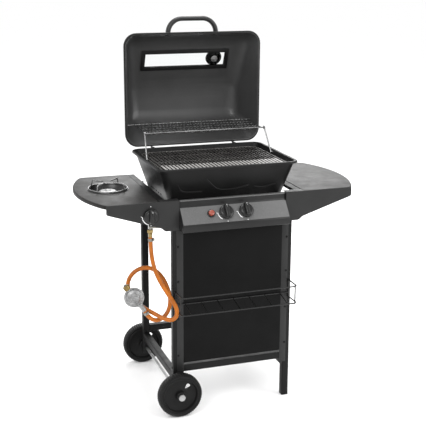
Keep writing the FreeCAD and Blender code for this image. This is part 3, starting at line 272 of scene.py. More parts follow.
def addPiece(name, bm, material, body, nodes=(), smooth=35, merge=True):
    if merge:
        bmesh.ops.remove_doubles(bm, verts=bm.verts[:], dist=1e-6)
    bmesh.ops.recalc_face_normals(bm, faces=bm.faces[:])
    shadeByAngle(bm, smooth)
    mesh = bpy.data.meshes.new(name)
    bm.to_mesh(mesh)
    bm.free()
    piece = bpy.data.objects.new(name, mesh)
    bpy.context.collection.objects.link(piece)
    for each in material if isinstance(material, (list, tuple)) else [material]:
        mesh.materials.append(finishes[each])
    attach(piece, body)
    if nodes:
        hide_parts(*nodes)
    return piece


def bevelEdges(bm, edges, offset, segments=3):
    return bmesh.ops.bevel(bm, geom=edges, offset=offset, offset_type="OFFSET", segments=segments,
                           profile=0.5, affect="EDGES", material=-1, clamp_overlap=True)


def bevelCorners(bm, verts, offset, segments=6):
    return bmesh.ops.bevel(bm, geom=verts, offset=offset, offset_type="OFFSET", segments=segments,
                           profile=0.5, affect="VERTICES", material=-1, clamp_overlap=True)


def block(bm, low, high):
    low, high = Vector(low), Vector(high)
    place = Matrix.Translation((low + high) / 2) @ Matrix.Diagonal((*(high - low), 1))
    return bmesh.ops.create_cube(bm, size=1, matrix=place)["verts"]


def edgesOf(verts):
    chosen = set(verts)
    touching = {e for v in verts for e in v.link_edges}
    return [e for e in touching if e.verts[0] in chosen and e.verts[1] in chosen]


def alongAxis(edges, axis, slack=0.95):
    picked = []
    for edge in edges:
        way = (edge.verts[1].co - edge.verts[0].co)
        if way.length and abs(way.normalized()[axis]) > slack:
            picked.append(edge)
    return picked


def lathe(bm, profile, centre, axis, steps=48):
    start = [bm.verts.new((radius, 0, height)) for radius, height in profile]
    edges = [bm.edges.new(pair) for pair in zip(start, start[1:])]
    made = bmesh.ops.spin(bm, geom=start + edges, cent=(0, 0, 0), axis=(0, 0, 1), angle=2 * math.pi,
                          steps=steps, use_merge=True)
    verts = set(start)
    stack = list(start)
    while stack:
        for edge in stack.pop().link_edges:
            for vert in edge.verts:
                if vert not in verts:
                    verts.add(vert)
                    stack.append(vert)
    turn = Vector((0, 0, 1)).rotation_difference(Vector(axis)).to_matrix().to_4x4()
    bmesh.ops.transform(bm, matrix=Matrix.Translation(centre) @ turn, verts=list(verts))
    bmesh.ops.remove_doubles(bm, verts=list(verts), dist=1e-6)
    return made


def plate(bm, outline, thickness, flat):
    # outline: points of a flat face; flat: the way it is thickened
    face = bm.faces.new([bm.verts.new(point) for point in outline])
    made = bmesh.ops.extrude_face_region(bm, geom=[face])
    moved = vertsIn(made)
    bmesh.ops.translate(bm, vec=Vector(flat) * thickness, verts=moved)
    return list(face.verts), moved


def tubeInto(bm, points, radius, smooth=True, closed=False, sides=3):
    data = bpy.data.curves.new("tube", "CURVE")
    data.dimensions = "3D"
    data.bevel_depth = radius
    data.bevel_resolution = sides
    data.use_fill_caps = not closed
    spline = data.splines.new("NURBS" if smooth else "POLY")
    spline.points.add(len(points) - 1)
    for knot, place in zip(spline.points, points):
        knot.co = (*place, 1)
    spline.use_cyclic_u = closed
    if smooth:
        spline.order_u = 3
        spline.use_endpoint_u = not closed
        spline.resolution_u = 6
    curve = bpy.data.objects.new("tube", data)
    mesh = bpy.data.meshes.new_from_object(curve)
    bm.from_mesh(mesh)
    bpy.data.objects.remove(curve)
    bpy.data.meshes.remove(mesh)


def rod(bm, start, end, radius, sides=12):
    start, end = Vector(start), Vector(end)
    way = end - start
    turn = Vector((0, 0, 1)).rotation_difference(way).to_matrix().to_4x4()
    bmesh.ops.create_cone(bm, cap_ends=True, segments=sides, radius1=radius, radius2=radius, depth=way.length,
                          matrix=Matrix.Translation((start + end) / 2) @ turn)


def cutAway(piece, cutterBm):
    mesh = bpy.data.meshes.new("cutter")
    bmesh.ops.recalc_face_normals(cutterBm, faces=cutterBm.faces[:])
    cutterBm.to_mesh(mesh)
    cutterBm.free()
    cutter = bpy.data.objects.new("cutter", mesh)
    bpy.context.collection.objects.link(cutter)
    boolean = piece.modifiers.new("cut", "BOOLEAN")
    boolean.operation = "DIFFERENCE"
    boolean.solver = "EXACT"
    boolean.object = cutter
    bpy.context.view_layer.update()
    shape = bpy.data.meshes.new_from_object(piece.evaluated_get(bpy.context.evaluated_depsgraph_get()))
    piece.modifiers.clear()
    piece.data = shape
    bpy.data.objects.remove(cutter)
    bm = bmesh.new()
    bm.from_mesh(shape)
    shadeByAngle(bm, 35)
    bm.to_mesh(shape)
    bm.free()


# ---- gas hose
hoseShape = {
    "diameter": 0.014, "length": 0.875, "shiftY": -0.043875, "exitZ": 0.610,
    "route": (
        (-0.272, -0.170, 0.574), (-0.269, -0.173, 0.534), (-0.261, -0.183, 0.494), (-0.247, -0.200, 0.459),
        (-0.230, -0.221, 0.427), (-0.215, -0.238, 0.401), (-0.208, -0.247, 0.381), (-0.210, -0.254, 0.361),
        (-0.226, -0.254, 0.348), (-0.249, -0.240, 0.351), (-0.274, -0.213, 0.362), (-0.300, -0.184, 0.374),
        (-0.325, -0.161, 0.391), (-0.343, -0.148, 0.420), (-0.345, -0.141, 0.455), (-0.327, -0.139, 0.484),
        (-0.296, -0.143, 0.501), (-0.262, -0.152, 0.498), (-0.235, -0.166, 0.473), (-0.221, -0.186, 0.439),
        (-0.217, -0.204, 0.404), (-0.223, -0.212, 0.374), (-0.239, -0.216, 0.350), (-0.265, -0.217, 0.338),
        (-0.291, -0.213, 0.347), (-0.305, -0.206, 0.372)),
    "start": (-0.273, -0.17043),
}


def makeHose():
    route = [(*hoseShape["start"], hoseShape["exitZ"])] + list(hoseShape["route"])
    data = bpy.data.curves.new("gasHose", "CURVE")
    data.dimensions = "3D"
    spline = data.splines.new("NURBS")
    spline.points.add(len(route) - 1)
    for point, (x, y, z) in zip(spline.points, route):
        point.co = (x, y + hoseShape["shiftY"], z, 1)
    spline.order_u = 3
    spline.use_endpoint_u = True
    spline.resolution_u = 8
    data.bevel_depth = hoseShape["diameter"] / 2
    data.bevel_resolution = 5
    data.use_fill_caps = True
    data.materials.append(finishes["hoseOrange"])
    hose = bpy.data.objects.new("gasHose", data)
    bpy.context.collection.objects.link(hose)
    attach(hose, "cart")
    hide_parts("hose")
    return hose


gasHose = makeHose()
print("hose laid")


# ---- cart frame
tubeShape = {"round": 0.0028, "wall": 0.0012, "open": 0.012, "side": 0.024}


def squareTube(bm, low, high, axis):
    verts = block(bm, low, high)
    ends = [f for f in {f for v in verts for f in v.link_faces} if abs(f.normal[axis]) > 0.9]
    bmesh.ops.inset_individual(bm, faces=ends, thickness=tubeShape["wall"] + 0.001, use_even_offset=True)
    for face in ends:
        inward = face.normal * -tubeShape["open"]
        grown = bmesh.ops.extrude_face_region(bm, geom=[face])
        bmesh.ops.translate(bm, vec=inward, verts=vertsIn(grown))
        bmesh.ops.delete(bm, geom=[face], context="FACES_ONLY")
    bevelEdges(bm, alongAxis(edgesOf(verts), axis, 0.99), tubeShape["round"], 3)


def makeFrame():
    axes = {"leg_front_left": 2, "leg_front_right": 2, "leg_back_left": 2, "leg_back_right": 2,
            "front_rail": 0, "back_rail": 0}
    for name, axis in axes.items():
        bm = bmesh.new()
        low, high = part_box(name)
        squareTube(bm, low, high, axis)
        addPiece(name + "_tube", bm, "framePaint", "cart", [name], 40)
    for name in ("side_rails", "upper_rails"):
        bm = bmesh.new()
        low, high = boxOf(name)
        side = tubeShape["side"]
        squareTube(bm, low, (low.x + side, high.y, high.z), 1)
        squareTube(bm, (high.x - side, low.y, low.z), high, 1)
        addPiece(name + "_tubes", bm, "framePaint", "cart", [name], 40)
    bm = bmesh.new()
    low, high = boxOf("foot_caps")
    side, base = tubeShape["side"], 0.005
    for y in (low.y, high.y - side):
        verts = block(bm, (low.x, y, 0), (high.x, y + side, base))
        bevelEdges(bm, edgesOf(verts), 0.0018, 3)
    addPiece("foot_caps_moulded", bm, "rubberFoot", "cart", ["foot_caps"], 40)


makeFrame()
print("cart frame made")


# ---- wheels
wheelShape = {"ribDepth": 0.0022, "teeth": 120, "holes": 6}


def makeWheel(name):
    low, high = boxOf(name)
    centre = (low + high) / 2
    radius = (high.z - low.z) / 2
    hub = (high.y - low.y) / 2
    wide = 0.019
    profile = [(0.0053, -hub), (0.014, -hub), (0.016, -hub + 0.002), (0.0175, -0.0055), (0.024, -0.0045),
               (0.050, -0.0045), (0.0545, -0.006), (0.0565, -wide + 0.005), (0.058, -wide + 0.0025),
               (0.0605, -wide + 0.0025), (0.062, -wide + 0.004), (0.0645, -wide + 0.0035),
               (0.068, -wide + 0.001), (0.0715, -wide + 0.002), (radius, -wide + 0.007),
               (radius, wide - 0.007), (0.0715, wide - 0.002), (0.068, wide - 0.001), (0.0645, wide - 0.0035),
               (0.062, wide - 0.004), (0.0605, wide - 0.0025), (0.058, wide - 0.0025), (0.0565, wide - 0.005),
               (0.0545, 0.006), (0.050, 0.0045), (0.024, 0.0045), (0.0175, 0.0055), (0.016, hub - 0.002),
               (0.014, hub), (0.0053, hub), (0.0053, -hub)]
    bm = bmesh.new()
    lathe(bm, profile, (0, 0, 0), (0, 1, 0), wheelShape["teeth"])
    for vert in bm.verts:
        out = math.hypot(vert.co.x, vert.co.z)
        if out > 0.0705:
            step = round(math.atan2(vert.co.z, vert.co.x) / (2 * math.pi) * wheelShape["teeth"])
            if step % 2:
                vert.co.x *= 1 - wheelShape["ribDepth"] / out
                vert.co.z *= 1 - wheelShape["ribDepth"] / out
    bmesh.ops.translate(bm, vec=centre, verts=bm.verts[:])
    wheel = addPiece(name + "_moulded", bm, "wheelPlastic", name, [name], 32)
    cutter = bmesh.new()
    for n in range(wheelShape["holes"]):
        angle = 2 * math.pi * n / wheelShape["holes"]
        outline = [(0.0235, 0), (0.034, -0.0065), (0.043, -0.0095), (0.0475, -0.006), (0.0475, 0.006),
                   (0.043, 0.0095), (0.034, 0.0065)]
        made = [cutter.verts.new((r, -0.03, side)) for r, side in outline]
        face = cutter.faces.new(made)
        grown = bmesh.ops.extrude_face_region(cutter, geom=[face])
        moved = vertsIn(grown)
        bmesh.ops.translate(cutter, vec=(0, 0.06, 0), verts=moved)
        whole = made + moved
        bevelEdges(cutter, alongAxis(edgesOf(whole), 1, 0.99), 0.0022, 3)
        fresh = [v for v in cutter.verts if not v.tag]
        turn = Matrix.Translation(centre) @ Matrix.Rotation(angle + 0.26, 4, "Y")
        bmesh.ops.transform(cutter, matrix=turn, verts=fresh)
        for vert in cutter.verts:
            vert.tag = True
    cutAway(wheel, cutter)


makeWheel("wheel_front")
makeWheel("wheel_back")
print("wheels made")


# ---- sheet metal: front panel, strips, control panel, fascias
panelShape = {"sheet": 0.0012, "fold": 0.0015}


def foldedPanel():
    low, high = boxOf("front_panel")
    wide = 0.172
    bm = bmesh.new()
    verts = block(bm, (-wide, low.y, low.z), (wide, low.y + 0.008, high.z))
    back = [f for f in bm.faces if f.normal.y > 0.9]
    bmesh.ops.delete(bm, geom=back, context="FACES_ONLY")
    bevelEdges(bm, [e for e in bm.edges if all(v.co.y < low.y + 0.001 for v in e.verts)], panelShape["fold"],
               3)
    bmesh.ops.solidify(bm, geom=bm.faces[:], thickness=-panelShape["sheet"])
    for side in (-1, 1):
        inner, outer = side * (wide - 0.0006), side * (high.x - 0.0001)
        verts = block(bm, (min(inner, outer), high.y - 0.0012, low.z), (max(inner, outer), high.y, high.z))
    addPiece("front_panel_sheet", bm, "panelPaint", "cart", ["front_panel"], 40)
    bm = bmesh.new()
    low, high = boxOf("panel_strips")
    strip = 0.0237
    for x in (low.x, high.x - strip):
        verts = block(bm, (x, low.y, low.z), (x + strip, high.y, high.z))
        bevelEdges(bm, [e for e in edgesOf(verts) if all(v.co.y < low.y + 0.0001 for v in e.verts)], 0.0005,
                   2)
    addPiece("panel_strips_sheet", bm, "fasciaPaint", "cart", ["panel_strips"], 40)


foldedPanel()

consoleShape = {"bend": 0.004, "sheet": 0.0012}


def makeConsole():
    low, high = boxOf("control_panel")
    front, nose, back = low.y + 0.045, low.y, high.y
    outline = [(back, high.z), (front, high.z), (front, high.z - 0.020), (nose, low.z + 0.0235),
               (nose, low.z), (back, low.z)]
    bm = bmesh.new()
    verts = [bm.verts.new((low.x, y, z)) for y, z in outline]
    face = bm.faces.new(verts)
    grown = bmesh.ops.extrude_face_region(bm, geom=[face])
    moved = vertsIn(grown)
    bmesh.ops.translate(bm, vec=(high.x - low.x, 0, 0), verts=moved)
    bmesh.ops.recalc_face_normals(bm, faces=bm.faces[:])
    bmesh.ops.delete(bm, geom=[f for f in bm.faces if f.normal.y > 0.5], context="FACES_ONLY")
    folds = [e for e in alongAxis(bm.edges, 0, 0.99) if len(e.link_faces) == 2]
    bevelEdges(bm, folds, consoleShape["bend"], 5)
    sides = [e for e in bm.edges if len(e.link_faces) == 2 and any(abs(f.normal.x) > 0.9
                                                                   for f in e.link_faces)
                                                                   and not all(abs(f.normal.x) > 0.9
                                                                               for f in e.link_faces)]
    bevelEdges(bm, sides, 0.0015, 2)
    bmesh.ops.solidify(bm, geom=bm.faces[:], thickness=consoleShape["sheet"])
    bmesh.ops.recalc_face_normals(bm, faces=bm.faces[:])
    for face in bm.faces:
        slanted = face.normal.y < -0.6 and face.normal.z > 0.5
        top = face.normal.z > 0.3 and face.calc_center_median().z > high.z - 0.004
        face.material_index = 0 if top or (slanted and face.calc_area() > 0.001) else 1
    addPiece("control_panel_sheet", bm, ["consolePaint", "consoleDark"], "cart", ["control_panel"],
             40)


makeConsole()


def makeFascia(name, side):
    low, high = boxOf(name)
    inner = min(abs(low.x), abs(high.x))
    outer = max(abs(low.x), abs(high.x))
    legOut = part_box("leg_front_right")[1][0]
    outline = [(inner, high.z), (outer, high.z), (outer, high.z - 0.030), (legOut + 0.036, low.z + 0.0115),
               (legOut + 0.023, low.z), (inner, low.z)]
    bm = bmesh.new()
    plate(bm, [(side * x, low.y, z) for x, z in outline], 0.0012, (0, 1, 0))
    corners = [e for e in alongAxis(bm.edges, 1, 0.99) if abs(e.verts[0].co.x) > legOut - 0.001]
    bevelEdges(bm, corners, 0.005, 4)
    block(bm, (min(side * inner, side * (inner + 0.0006)), low.y, low.z),
          (max(side * inner, side * (inner + 0.0006)), low.y + 0.016, high.z - 0.0012))
    flange = 0.249 - 0.0003
    verts = block(bm, (min(side * inner, side * flange), low.y, high.z - 0.0012),
                  (max(side * inner, side * flange), high.y, high.z))
    bevelEdges(bm, [e for e in alongAxis(edgesOf(verts), 0, 0.99) if e.verts[0].co.z > high.z - 0.0001
                    and e.verts[0].co.y < low.y + 0.001], 0.001, 2)
    addPiece(name + "_sheet", bm, "fasciaPaint", "cart", [name], 40)


makeFascia("fascia_left", -1)
makeFascia("fascia_right", 1)
print("sheet metal made")


# ---- shelves
shelfShape = {"bulge": 0.056, "lip": 0.012, "sheet": 0.0016, "edge": 0.004, "arcSteps": 24}


def shelfOutline(side, low, high):
    inner, outer = (low.x, high.x) if side > 0 else (high.x, low.x)
    straightX = outer - side * shelfShape["bulge"]
    half = (high.y - low.y) / 2
    bulge = shelfShape["bulge"]
    radius = (half * half + bulge * bulge) / (2 * bulge)
    middle = (low.y + high.y) / 2
    reach = math.asin(half / radius)
    points = [(inner, high.y), (inner, low.y)]
    steps = shelfShape["arcSteps"]
    for n in range(steps + 1):
        angle = -reach + 2 * reach * n / steps
        x = straightX + side * (radius * math.cos(angle) - radius + bulge)
        points.append((x, middle + radius * math.sin(angle)))
    return points


def makeShelf(name, side):
    low, high = boxOf(name)
    outline = shelfOutline(side, low, high)
    bm = bmesh.new()
    verts = [bm.verts.new((x, y, high.z)) for x, y in outline]
    bm.faces.new(verts)
    sharp = [v for v in verts if abs(v.co.y - low.y) < 1e-5 or abs(v.co.y - high.y) < 1e-5]
    bevelCorners(bm, [v for v in sharp if abs(v.co.x - verts[0].co.x) > 0.01], 0.014, 6)
    bevelCorners(bm, [v for v in bm.verts if abs(v.co.x - verts[0].co.x) < 1e-5], 0.005, 3)
    grown = bmesh.ops.extrude_face_region(bm, geom=bm.faces[:])
    moved = vertsIn(grown)
    bmesh.ops.translate(bm, vec=(0, 0, -shelfShape["lip"]), verts=moved)
    bmesh.ops.recalc_face_normals(bm, faces=bm.faces[:])
    under = [f for f in bm.faces if f.normal.z < -0.9]
    bmesh.ops.delete(bm, geom=under, context="FACES_ONLY")
    rim = [e for e in bm.edges if len(e.link_faces) == 2 and all(abs(v.co.z - high.z) < 1e-5
                                                                 for v in e.verts)]
    bevelEdges(bm, rim, shelfShape["edge"], 4)
    bmesh.ops.solidify(bm, geom=bm.faces[:], thickness=shelfShape["sheet"])
    shelf = addPiece(name + "_pressed", bm, "shelfPaint", "cart", [name], 40)
    if side < 0:
        bowlLow, bowlHigh = boxOf("side_burner_bowl")
        centre = (bowlLow + bowlHigh) / 2
        cutter = bmesh.new()
        bmesh.ops.create_cone(cutter, cap_ends=True, segments=72, radius1=0.0672, radius2=0.0672, depth=0.05,
                              matrix=Matrix.Translation((centre.x, centre.y, high.z)))
        cutAway(shelf, cutter)


makeShelf("shelf_left", -1)
makeShelf("shelf_right", 1)
print("shelves made")


# ---- lid, modelled open: depth runs back from its rim, height runs from the hinge side up
lidShape = {"flange": 0.005, "soft": 0.042, "taper": 0.30, "wall": 0.0022, "lipTurn": 0.005,
            "profile": ((0.0022, 0.005), (0.149, 0.068), (0.150, 0.190), (0.073, 0.378), (0.0022, 0.395)),
            "windowWide": 0.310, "windowHigh": 0.060, "slopeLow": (0.083, 0.352), "slopeHigh": (0.131, 0.236)}


def slopeFrame():
    low = boxOf("lid")[0]
    y1, z1 = lidShape["slopeLow"]
    y2, z2 = lidShape["slopeHigh"]
    a = Vector((0, low.y + y1, low.z + z1))
    b = Vector((0, low.y + y2, low.z + z2))
    along = (b - a).normalized()
    out = Vector((1, 0, 0)).cross(along)
    if out.y < 0:
        out.negate()
    middle = (a + b) / 2
    # columns: across, along the slope, outwards
    turn = Matrix((Vector((1, 0, 0)), along, out)).transposed().to_4x4()
    return Matrix.Translation(middle) @ turn


def makeLid():
    low, high = boxOf("lid")
    flange = lidShape["flange"]
    half = high.x - flange
    bm = bmesh.new()
    verts = [bm.verts.new((-half, low.y + depth, low.z + height)) for depth, height in lidShape["profile"]]
    face = bm.faces.new(verts)
    grown = bmesh.ops.extrude_face_region(bm, geom=[face])
    moved = vertsIn(grown)
    bmesh.ops.translate(bm, vec=(2 * half, 0, 0), verts=moved)
    for vert in bm.verts:
        vert.co.x *= 1 - lidShape["taper"] * (vert.co.y - low.y) / half
    bmesh.ops.recalc_face_normals(bm, faces=bm.faces[:])
    mouth = [f for f in bm.faces if f.normal.y < -0.99]
    bmesh.ops.delete(bm, geom=mouth, context="FACES_ONLY")
    bevelEdges(bm, [e for e in bm.edges if len(e.link_faces) == 2], lidShape["soft"], 8)
    # the window opening in the sloping stretch
    place = slopeFrame()
    inward = place.to_3x3() @ Vector((0, 0, 1))
    reaches = ((Vector((1, 0, 0)), lidShape["windowWide"] / 2),
               (Vector((0, 1, 0)), lidShape["windowHigh"] / 2))
    for axis, reach in reaches:
        for side in (-1, 1):
            flat = [f for f in bm.faces if f.normal.dot(inward) > 0.999]
            geom = flat + list({e for f in flat for e in f.edges}) + list({v for f in flat for v in f.verts})
            bmesh.ops.bisect_plane(bm, geom=geom, plane_co=place @ (axis * side * reach),
                                   plane_no=place.to_3x3() @ axis)
    hole = [f for f in bm.faces if f.normal.dot(inward) > 0.999
            and abs((place.inverted() @ f.calc_center_median()).x) < 0.14
            and abs((place.inverted() @ f.calc_center_median()).y) < 0.025]
    bmesh.ops.delete(bm, geom=hole, context="FACES")
    # flange and turned lip round the mouth
    rim = [e for e in bm.edges if len(e.link_faces) == 1 and all(v.co.y < low.y + 0.0023 for v in e.verts)]
    grown = bmesh.ops.extrude_edge_only(bm, edges=rim)
    outer = vertsIn(grown)
    middleZ = low.z + (lidShape["profile"][0][1] + lidShape["profile"][-1][1]) / 2
    halfHigh = (lidShape["profile"][-1][1] - lidShape["profile"][0][1]) / 2
    for vert in outer:
        vert.co.x *= (half + flange - lidShape["wall"]) / half
        vert.co.z = middleZ + (vert.co.z - middleZ) * (halfHigh + flange - lidShape["wall"]) / halfHigh
    lipEdges = [e for e in grown["geom"] if isinstance(e, bmesh.types.BMEdge) and len(e.link_faces) == 1]
    grown = bmesh.ops.extrude_edge_only(bm, edges=lipEdges)
    turned = vertsIn(grown)
    bmesh.ops.translate(bm, vec=(0, lidShape["lipTurn"], 0), verts=turned)
    bmesh.ops.recalc_face_normals(bm, faces=bm.faces[:])
    centre = Vector((0, low.y + 0.06, middleZ))
    crown = max(bm.faces, key=lambda f: f.calc_area() if f.normal.y > 0.9 or f.normal.y < -0.9 else 0)
    if crown.normal.dot(crown.calc_center_median() - centre) < 0:
        bmesh.ops.reverse_faces(bm, faces=bm.faces[:])
    folds = [e for e in bm.edges if len(e.link_faces) == 2 and e.calc_face_angle(0) > math.radians(60)]
    bevelEdges(bm, folds, 0.0028, 4)
    bmesh.ops.solidify(bm, geom=bm.faces[:], thickness=lidShape["wall"])
    for face in bm.faces:
        away = face.calc_center_median() - centre
        face.material_index = 1 if face.normal.dot(away) < 0 else 0
    addPiece("lid_casting", bm, ["castPaint", "castInside"], "lid", ["lid"], 30)


makeLid()


windowShape = {"frame": 0.010, "thick": 0.0024}


def makeWindow():
    place = slopeFrame()
    wide, high = lidShape["windowWide"] / 2, lidShape["windowHigh"] / 2
    bm = bmesh.new()
    for side, level in ((1, 0.0002), (-1, -0.0040)):
        ring = windowShape["frame"]
        outer = block(bm, (-wide - ring, -high - ring, min(level, level + side * windowShape["thick"])),
                      (wide + ring, high + ring, max(level, level + side * windowShape["thick"])))
        faces = [f for f in {f for v in outer for f in v.link_faces} if abs(f.normal.z) > 0.9]
        bmesh.ops.inset_individual(bm, faces=faces, thickness=ring + 0.004, use_even_offset=True)
        edges = [list(f.edges) for f in faces]
        bmesh.ops.delete(bm, geom=faces, context="FACES_ONLY")
        bmesh.ops.bridge_loops(bm, edges=edges[0] + edges[1])
    soft = [e for e in bm.edges if len(e.link_faces) == 2 and e.calc_face_angle(0) > 1.2]
    bevelEdges(bm, soft, 0.0008, 2)
    bmesh.ops.transform(bm, matrix=place, verts=bm.verts[:])
    addPiece("window_frames", bm, "castPaint", "lid", ["window_frame"], 35)
    bm = bmesh.new()
    verts = block(bm, (-wide + 0.0005, -high + 0.0005, -0.0039), (wide - 0.0005, high - 0.0005, 0.0001))
    bevelEdges(bm, edgesOf(verts), 0.0006, 2)
    bmesh.ops.transform(bm, matrix=place, verts=bm.verts[:])
    addPiece("window_pane", bm, "windowGlass", "lid", ["window_glass"], 40)


makeWindow()


gaugeShape = {"radius": 0.030, "across": 0.112}


def makeGauge():
    place = slopeFrame()
    centre = place @ Vector((gaugeShape["across"], 0, 0))
    out = place.to_3x3() @ Vector((0, 0, 1))
    radius = gaugeShape["radius"]
    bm = bmesh.new()
    lathe(bm, [(0, 0.0018), (radius - 0.001, 0.0018), (radius, 0.0026), (radius, 0.0078),
               (radius - 0.001, 0.0090), (radius - 0.003, 0.0092), (radius - 0.0045, 0.0072), (0, 0.0072)],
               centre, out, 56)
    addPiece("thermometer_case", bm, "castPaint", "lid", ["thermometer"], 35)
    bm = bmesh.new()
    lathe(bm, [(0, -0.0205), (0.003, -0.0200), (0.0034, -0.018), (0.0034, -0.0095), (0.0036, -0.0095)],
          centre, out, 24)
    # hexagon nut on the inside
    lathe(bm, [(0, -0.0098), (0.0068, -0.0098), (0.0078, -0.0088), (0.0078, -0.0046), (0, -0.0046)], centre,
          out, 6)
    lathe(bm, [(0.0034, -0.0046), (0.0120, -0.0046), (0.0124, -0.0043), (0.0120, -0.0041), (0.0034, -0.0041)],
          centre, out, 36)
    addPiece("thermometer_nut", bm, "plainSteel", "lid", smooth=35)
    bm = bmesh.new()
    lathe(bm, [(0, 0.0073), (radius - 0.0048, 0.0073), (radius - 0.0048, 0.0075), (0, 0.0075)], centre, out,
          48)
    addPiece("thermometer_dial", bm, "whiteInk", "lid", smooth=35)
    bm = bmesh.new()
    for n in range(11):
        angle = math.radians(-60 + 30 * n)
        verts = block(bm, (-0.0004, 0.0195, 0.0075), (0.0004, 0.0235, 0.0077))
        bmesh.ops.rotate(bm, cent=(0, 0, 0), matrix=Matrix.Rotation(angle, 3, "Z"), verts=verts)
    verts = block(bm, (-0.0005, -0.005, 0.0078), (0.0005, 0.019, 0.0084))
    bmesh.ops.rotate(bm, cent=(0, 0, 0), matrix=Matrix.Rotation(math.radians(110), 3, "Z"), verts=verts)
    shift = place @ Matrix.Translation((gaugeShape["across"], 0, 0))
    bmesh.ops.transform(bm, matrix=shift, verts=bm.verts[:])
    addPiece("thermometer_needle", bm, "handlePlastic", "lid", smooth=35)


makeGauge()


handleShape = {"wide": 0.0120, "thin": 0.0085, "half": 0.0885, "round": 0.050, "sunk": 0.012, "steps": 10,
               "middle": 0.196, "flare": 1.25, "sides": 20}


def makeHandle():
    high = boxOf("handle")[1]
    half, middle = handleShape["half"], handleShape["middle"]
    top = high.z - handleShape["thin"]
    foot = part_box("lid")[1][2] - handleShape["sunk"]
    radius = handleShape["round"]
    path = [Vector((-half, middle, foot))]
    for side, centreX in ((-1, -half + radius), (1, half - radius)):
        for n in range(handleShape["steps"] + 1):
            angle = math.pi / 2 * n / handleShape["steps"]
            out, up = (math.cos(angle), math.sin(angle)) if side < 0 else (math.sin(angle), math.cos(angle))
            path.append(Vector((centreX + side * radius * out, middle, top - radius + radius * up)))
    path.append(Vector((half, middle, foot)))
    bm = bmesh.new()
    rings = []
    total = handleShape["sides"]
    for n, point in enumerate(path):
        before = path[max(n - 1, 0)]
        after = path[min(n + 1, len(path) - 1)]
        way = (after - before).normalized()
        side = Vector((0, 1, 0))
        up = way.cross(side)
        flare = handleShape["flare"] if n in (0, len(path) - 1) else 1.0
        ring = []
        for k in range(total):
            angle = 2 * math.pi * k / total
            ring.append(bm.verts.new(point + side * math.cos(angle) * handleShape["wide"] * flare
                                     + up * math.sin(angle) * handleShape["thin"] * flare))
        rings.append([bm.edges.new((ring[k], ring[(k + 1) % total])) for k in range(total)])
    for first, second in zip(rings, rings[1:]):
        bmesh.ops.bridge_loops(bm, edges=first + second)
    bmesh.ops.holes_fill(bm, edges=rings[0])
    bmesh.ops.holes_fill(bm, edges=rings[-1])
    addPiece("handle_grip", bm, "handlePlastic", "lid", ["handle"], 40)


makeHandle()
print("lid, window, thermometer and handle made")


# ---- knobs, igniter and their marks
knobShape = {"radius": 0.024, "markIn": 0.0275, "markOut": 0.0290}


def controlFrame(name):
    # place of a control: its axis from the joint that turns or pushes it
    for joint in frame["joints"]:
        if joint["name"] == name:
            return Vector(joint.get("pos_m", (0, 0, 0))), Vector(joint["axis"]).normalized()


def alignTo(centre, out):
    up = Vector((0, 0, 1)) - out * out.z
    up.normalize()
    across = up.cross(out)
    return Matrix.Translation(centre) @ Matrix((across, up, out)).transposed().to_4x4()


def makeKnob(label, jointName):
    centre, out = controlFrame(jointName)
    place = alignTo(centre, out)
    radius = knobShape["radius"]
    bm = bmesh.new()
    # bored from below for its stem, the hub standing inside the grip
    lathe(bm, [(0, 0.0172), (0.0043, 0.0172), (0.0043, 0.004), (radius - 0.0008, 0.004), (radius, 0.0048),
               (radius - 0.0004, 0.0085), (radius - 0.002, 0.0102), (radius - 0.005, 0.0108),
               (radius - 0.0075, 0.0128), (0.0056, 0.0131), (0.0056, 0.0186), (0, 0.0186)], (0, 0, 0),
               (0, 0, 1), 64)
    grip = block(bm, (-0.0092, -radius + 0.0022, 0.009), (0.0092, radius - 0.0012, 0.0238))
    for vert in grip:
        if vert.co.z > 0.02:
            vert.co.x *= 0.72
            vert.co.y *= 0.90
    bevelEdges(bm, [e for e in edgesOf(grip) if any(v.co.z > 0.02 for v in e.verts)], 0.0048, 6)
    seat = [f for f in bm.faces if f.normal.z < -0.9 and abs(f.calc_center_median().z - 0.009) < 0.0002
            and f.calc_area() > 0.0004]
    bmesh.ops.delete(bm, geom=seat, context="FACES_ONLY")
    bmesh.ops.transform(bm, matrix=place, verts=bm.verts[:])
    addPiece("knob_" + label + "_moulded", bm, "knobPlastic", "knob_" + label, ["knob_" + label],
             35, merge=False)
    bm = bmesh.new()
    pointer = block(bm, (-0.0007, 0.0085, 0.02345), (0.0007, 0.0185, 0.0238))
    bmesh.ops.transform(bm, matrix=place, verts=pointer)
    addPiece("knob_" + label + "_pointer", bm, "whiteInk", "knob_" + label)
    # printed dial arc on the panel, from full at the left down to low
    bm = bmesh.new()
    steps = 14
    inner, outer = [], []
    for n in range(steps + 1):
        angle = math.radians(180 + 75 * n / steps)
        swell = 1 + 0.9 * math.sin(math.pi * n / steps)
        mid = (knobShape["markIn"] + knobShape["markOut"]) / 2
        halfWide = (knobShape["markOut"] - knobShape["markIn"]) / 2 * swell
        for ring, reach in ((inner, mid - halfWide), (outer, mid + halfWide)):
            ring.append(bm.verts.new((reach * math.cos(angle), reach * math.sin(angle), 0)))
    one = [bm.edges.new(pair) for pair in zip(inner, inner[1:])]
    two = [bm.edges.new(pair) for pair in zip(outer, outer[1:])]
    bmesh.ops.bridge_loops(bm, edges=one + two)
    for angle in (90, 180, 270):
        turn = math.radians(angle)
        bmesh.ops.create_cone(bm, cap_ends=True, segments=16, radius1=0.0014, radius2=0.0014, depth=0.0001,
                              matrix=Matrix.Translation((0.0315 * math.cos(turn), 0.0315 * math.sin(turn),
                                                         0)))
    bmesh.ops.transform(bm, matrix=place @ Matrix.Translation((0, 0, markLift[label])), verts=bm.verts[:])
    addPiece("knob_" + label + "_marks", bm, "whiteInk", "cart")


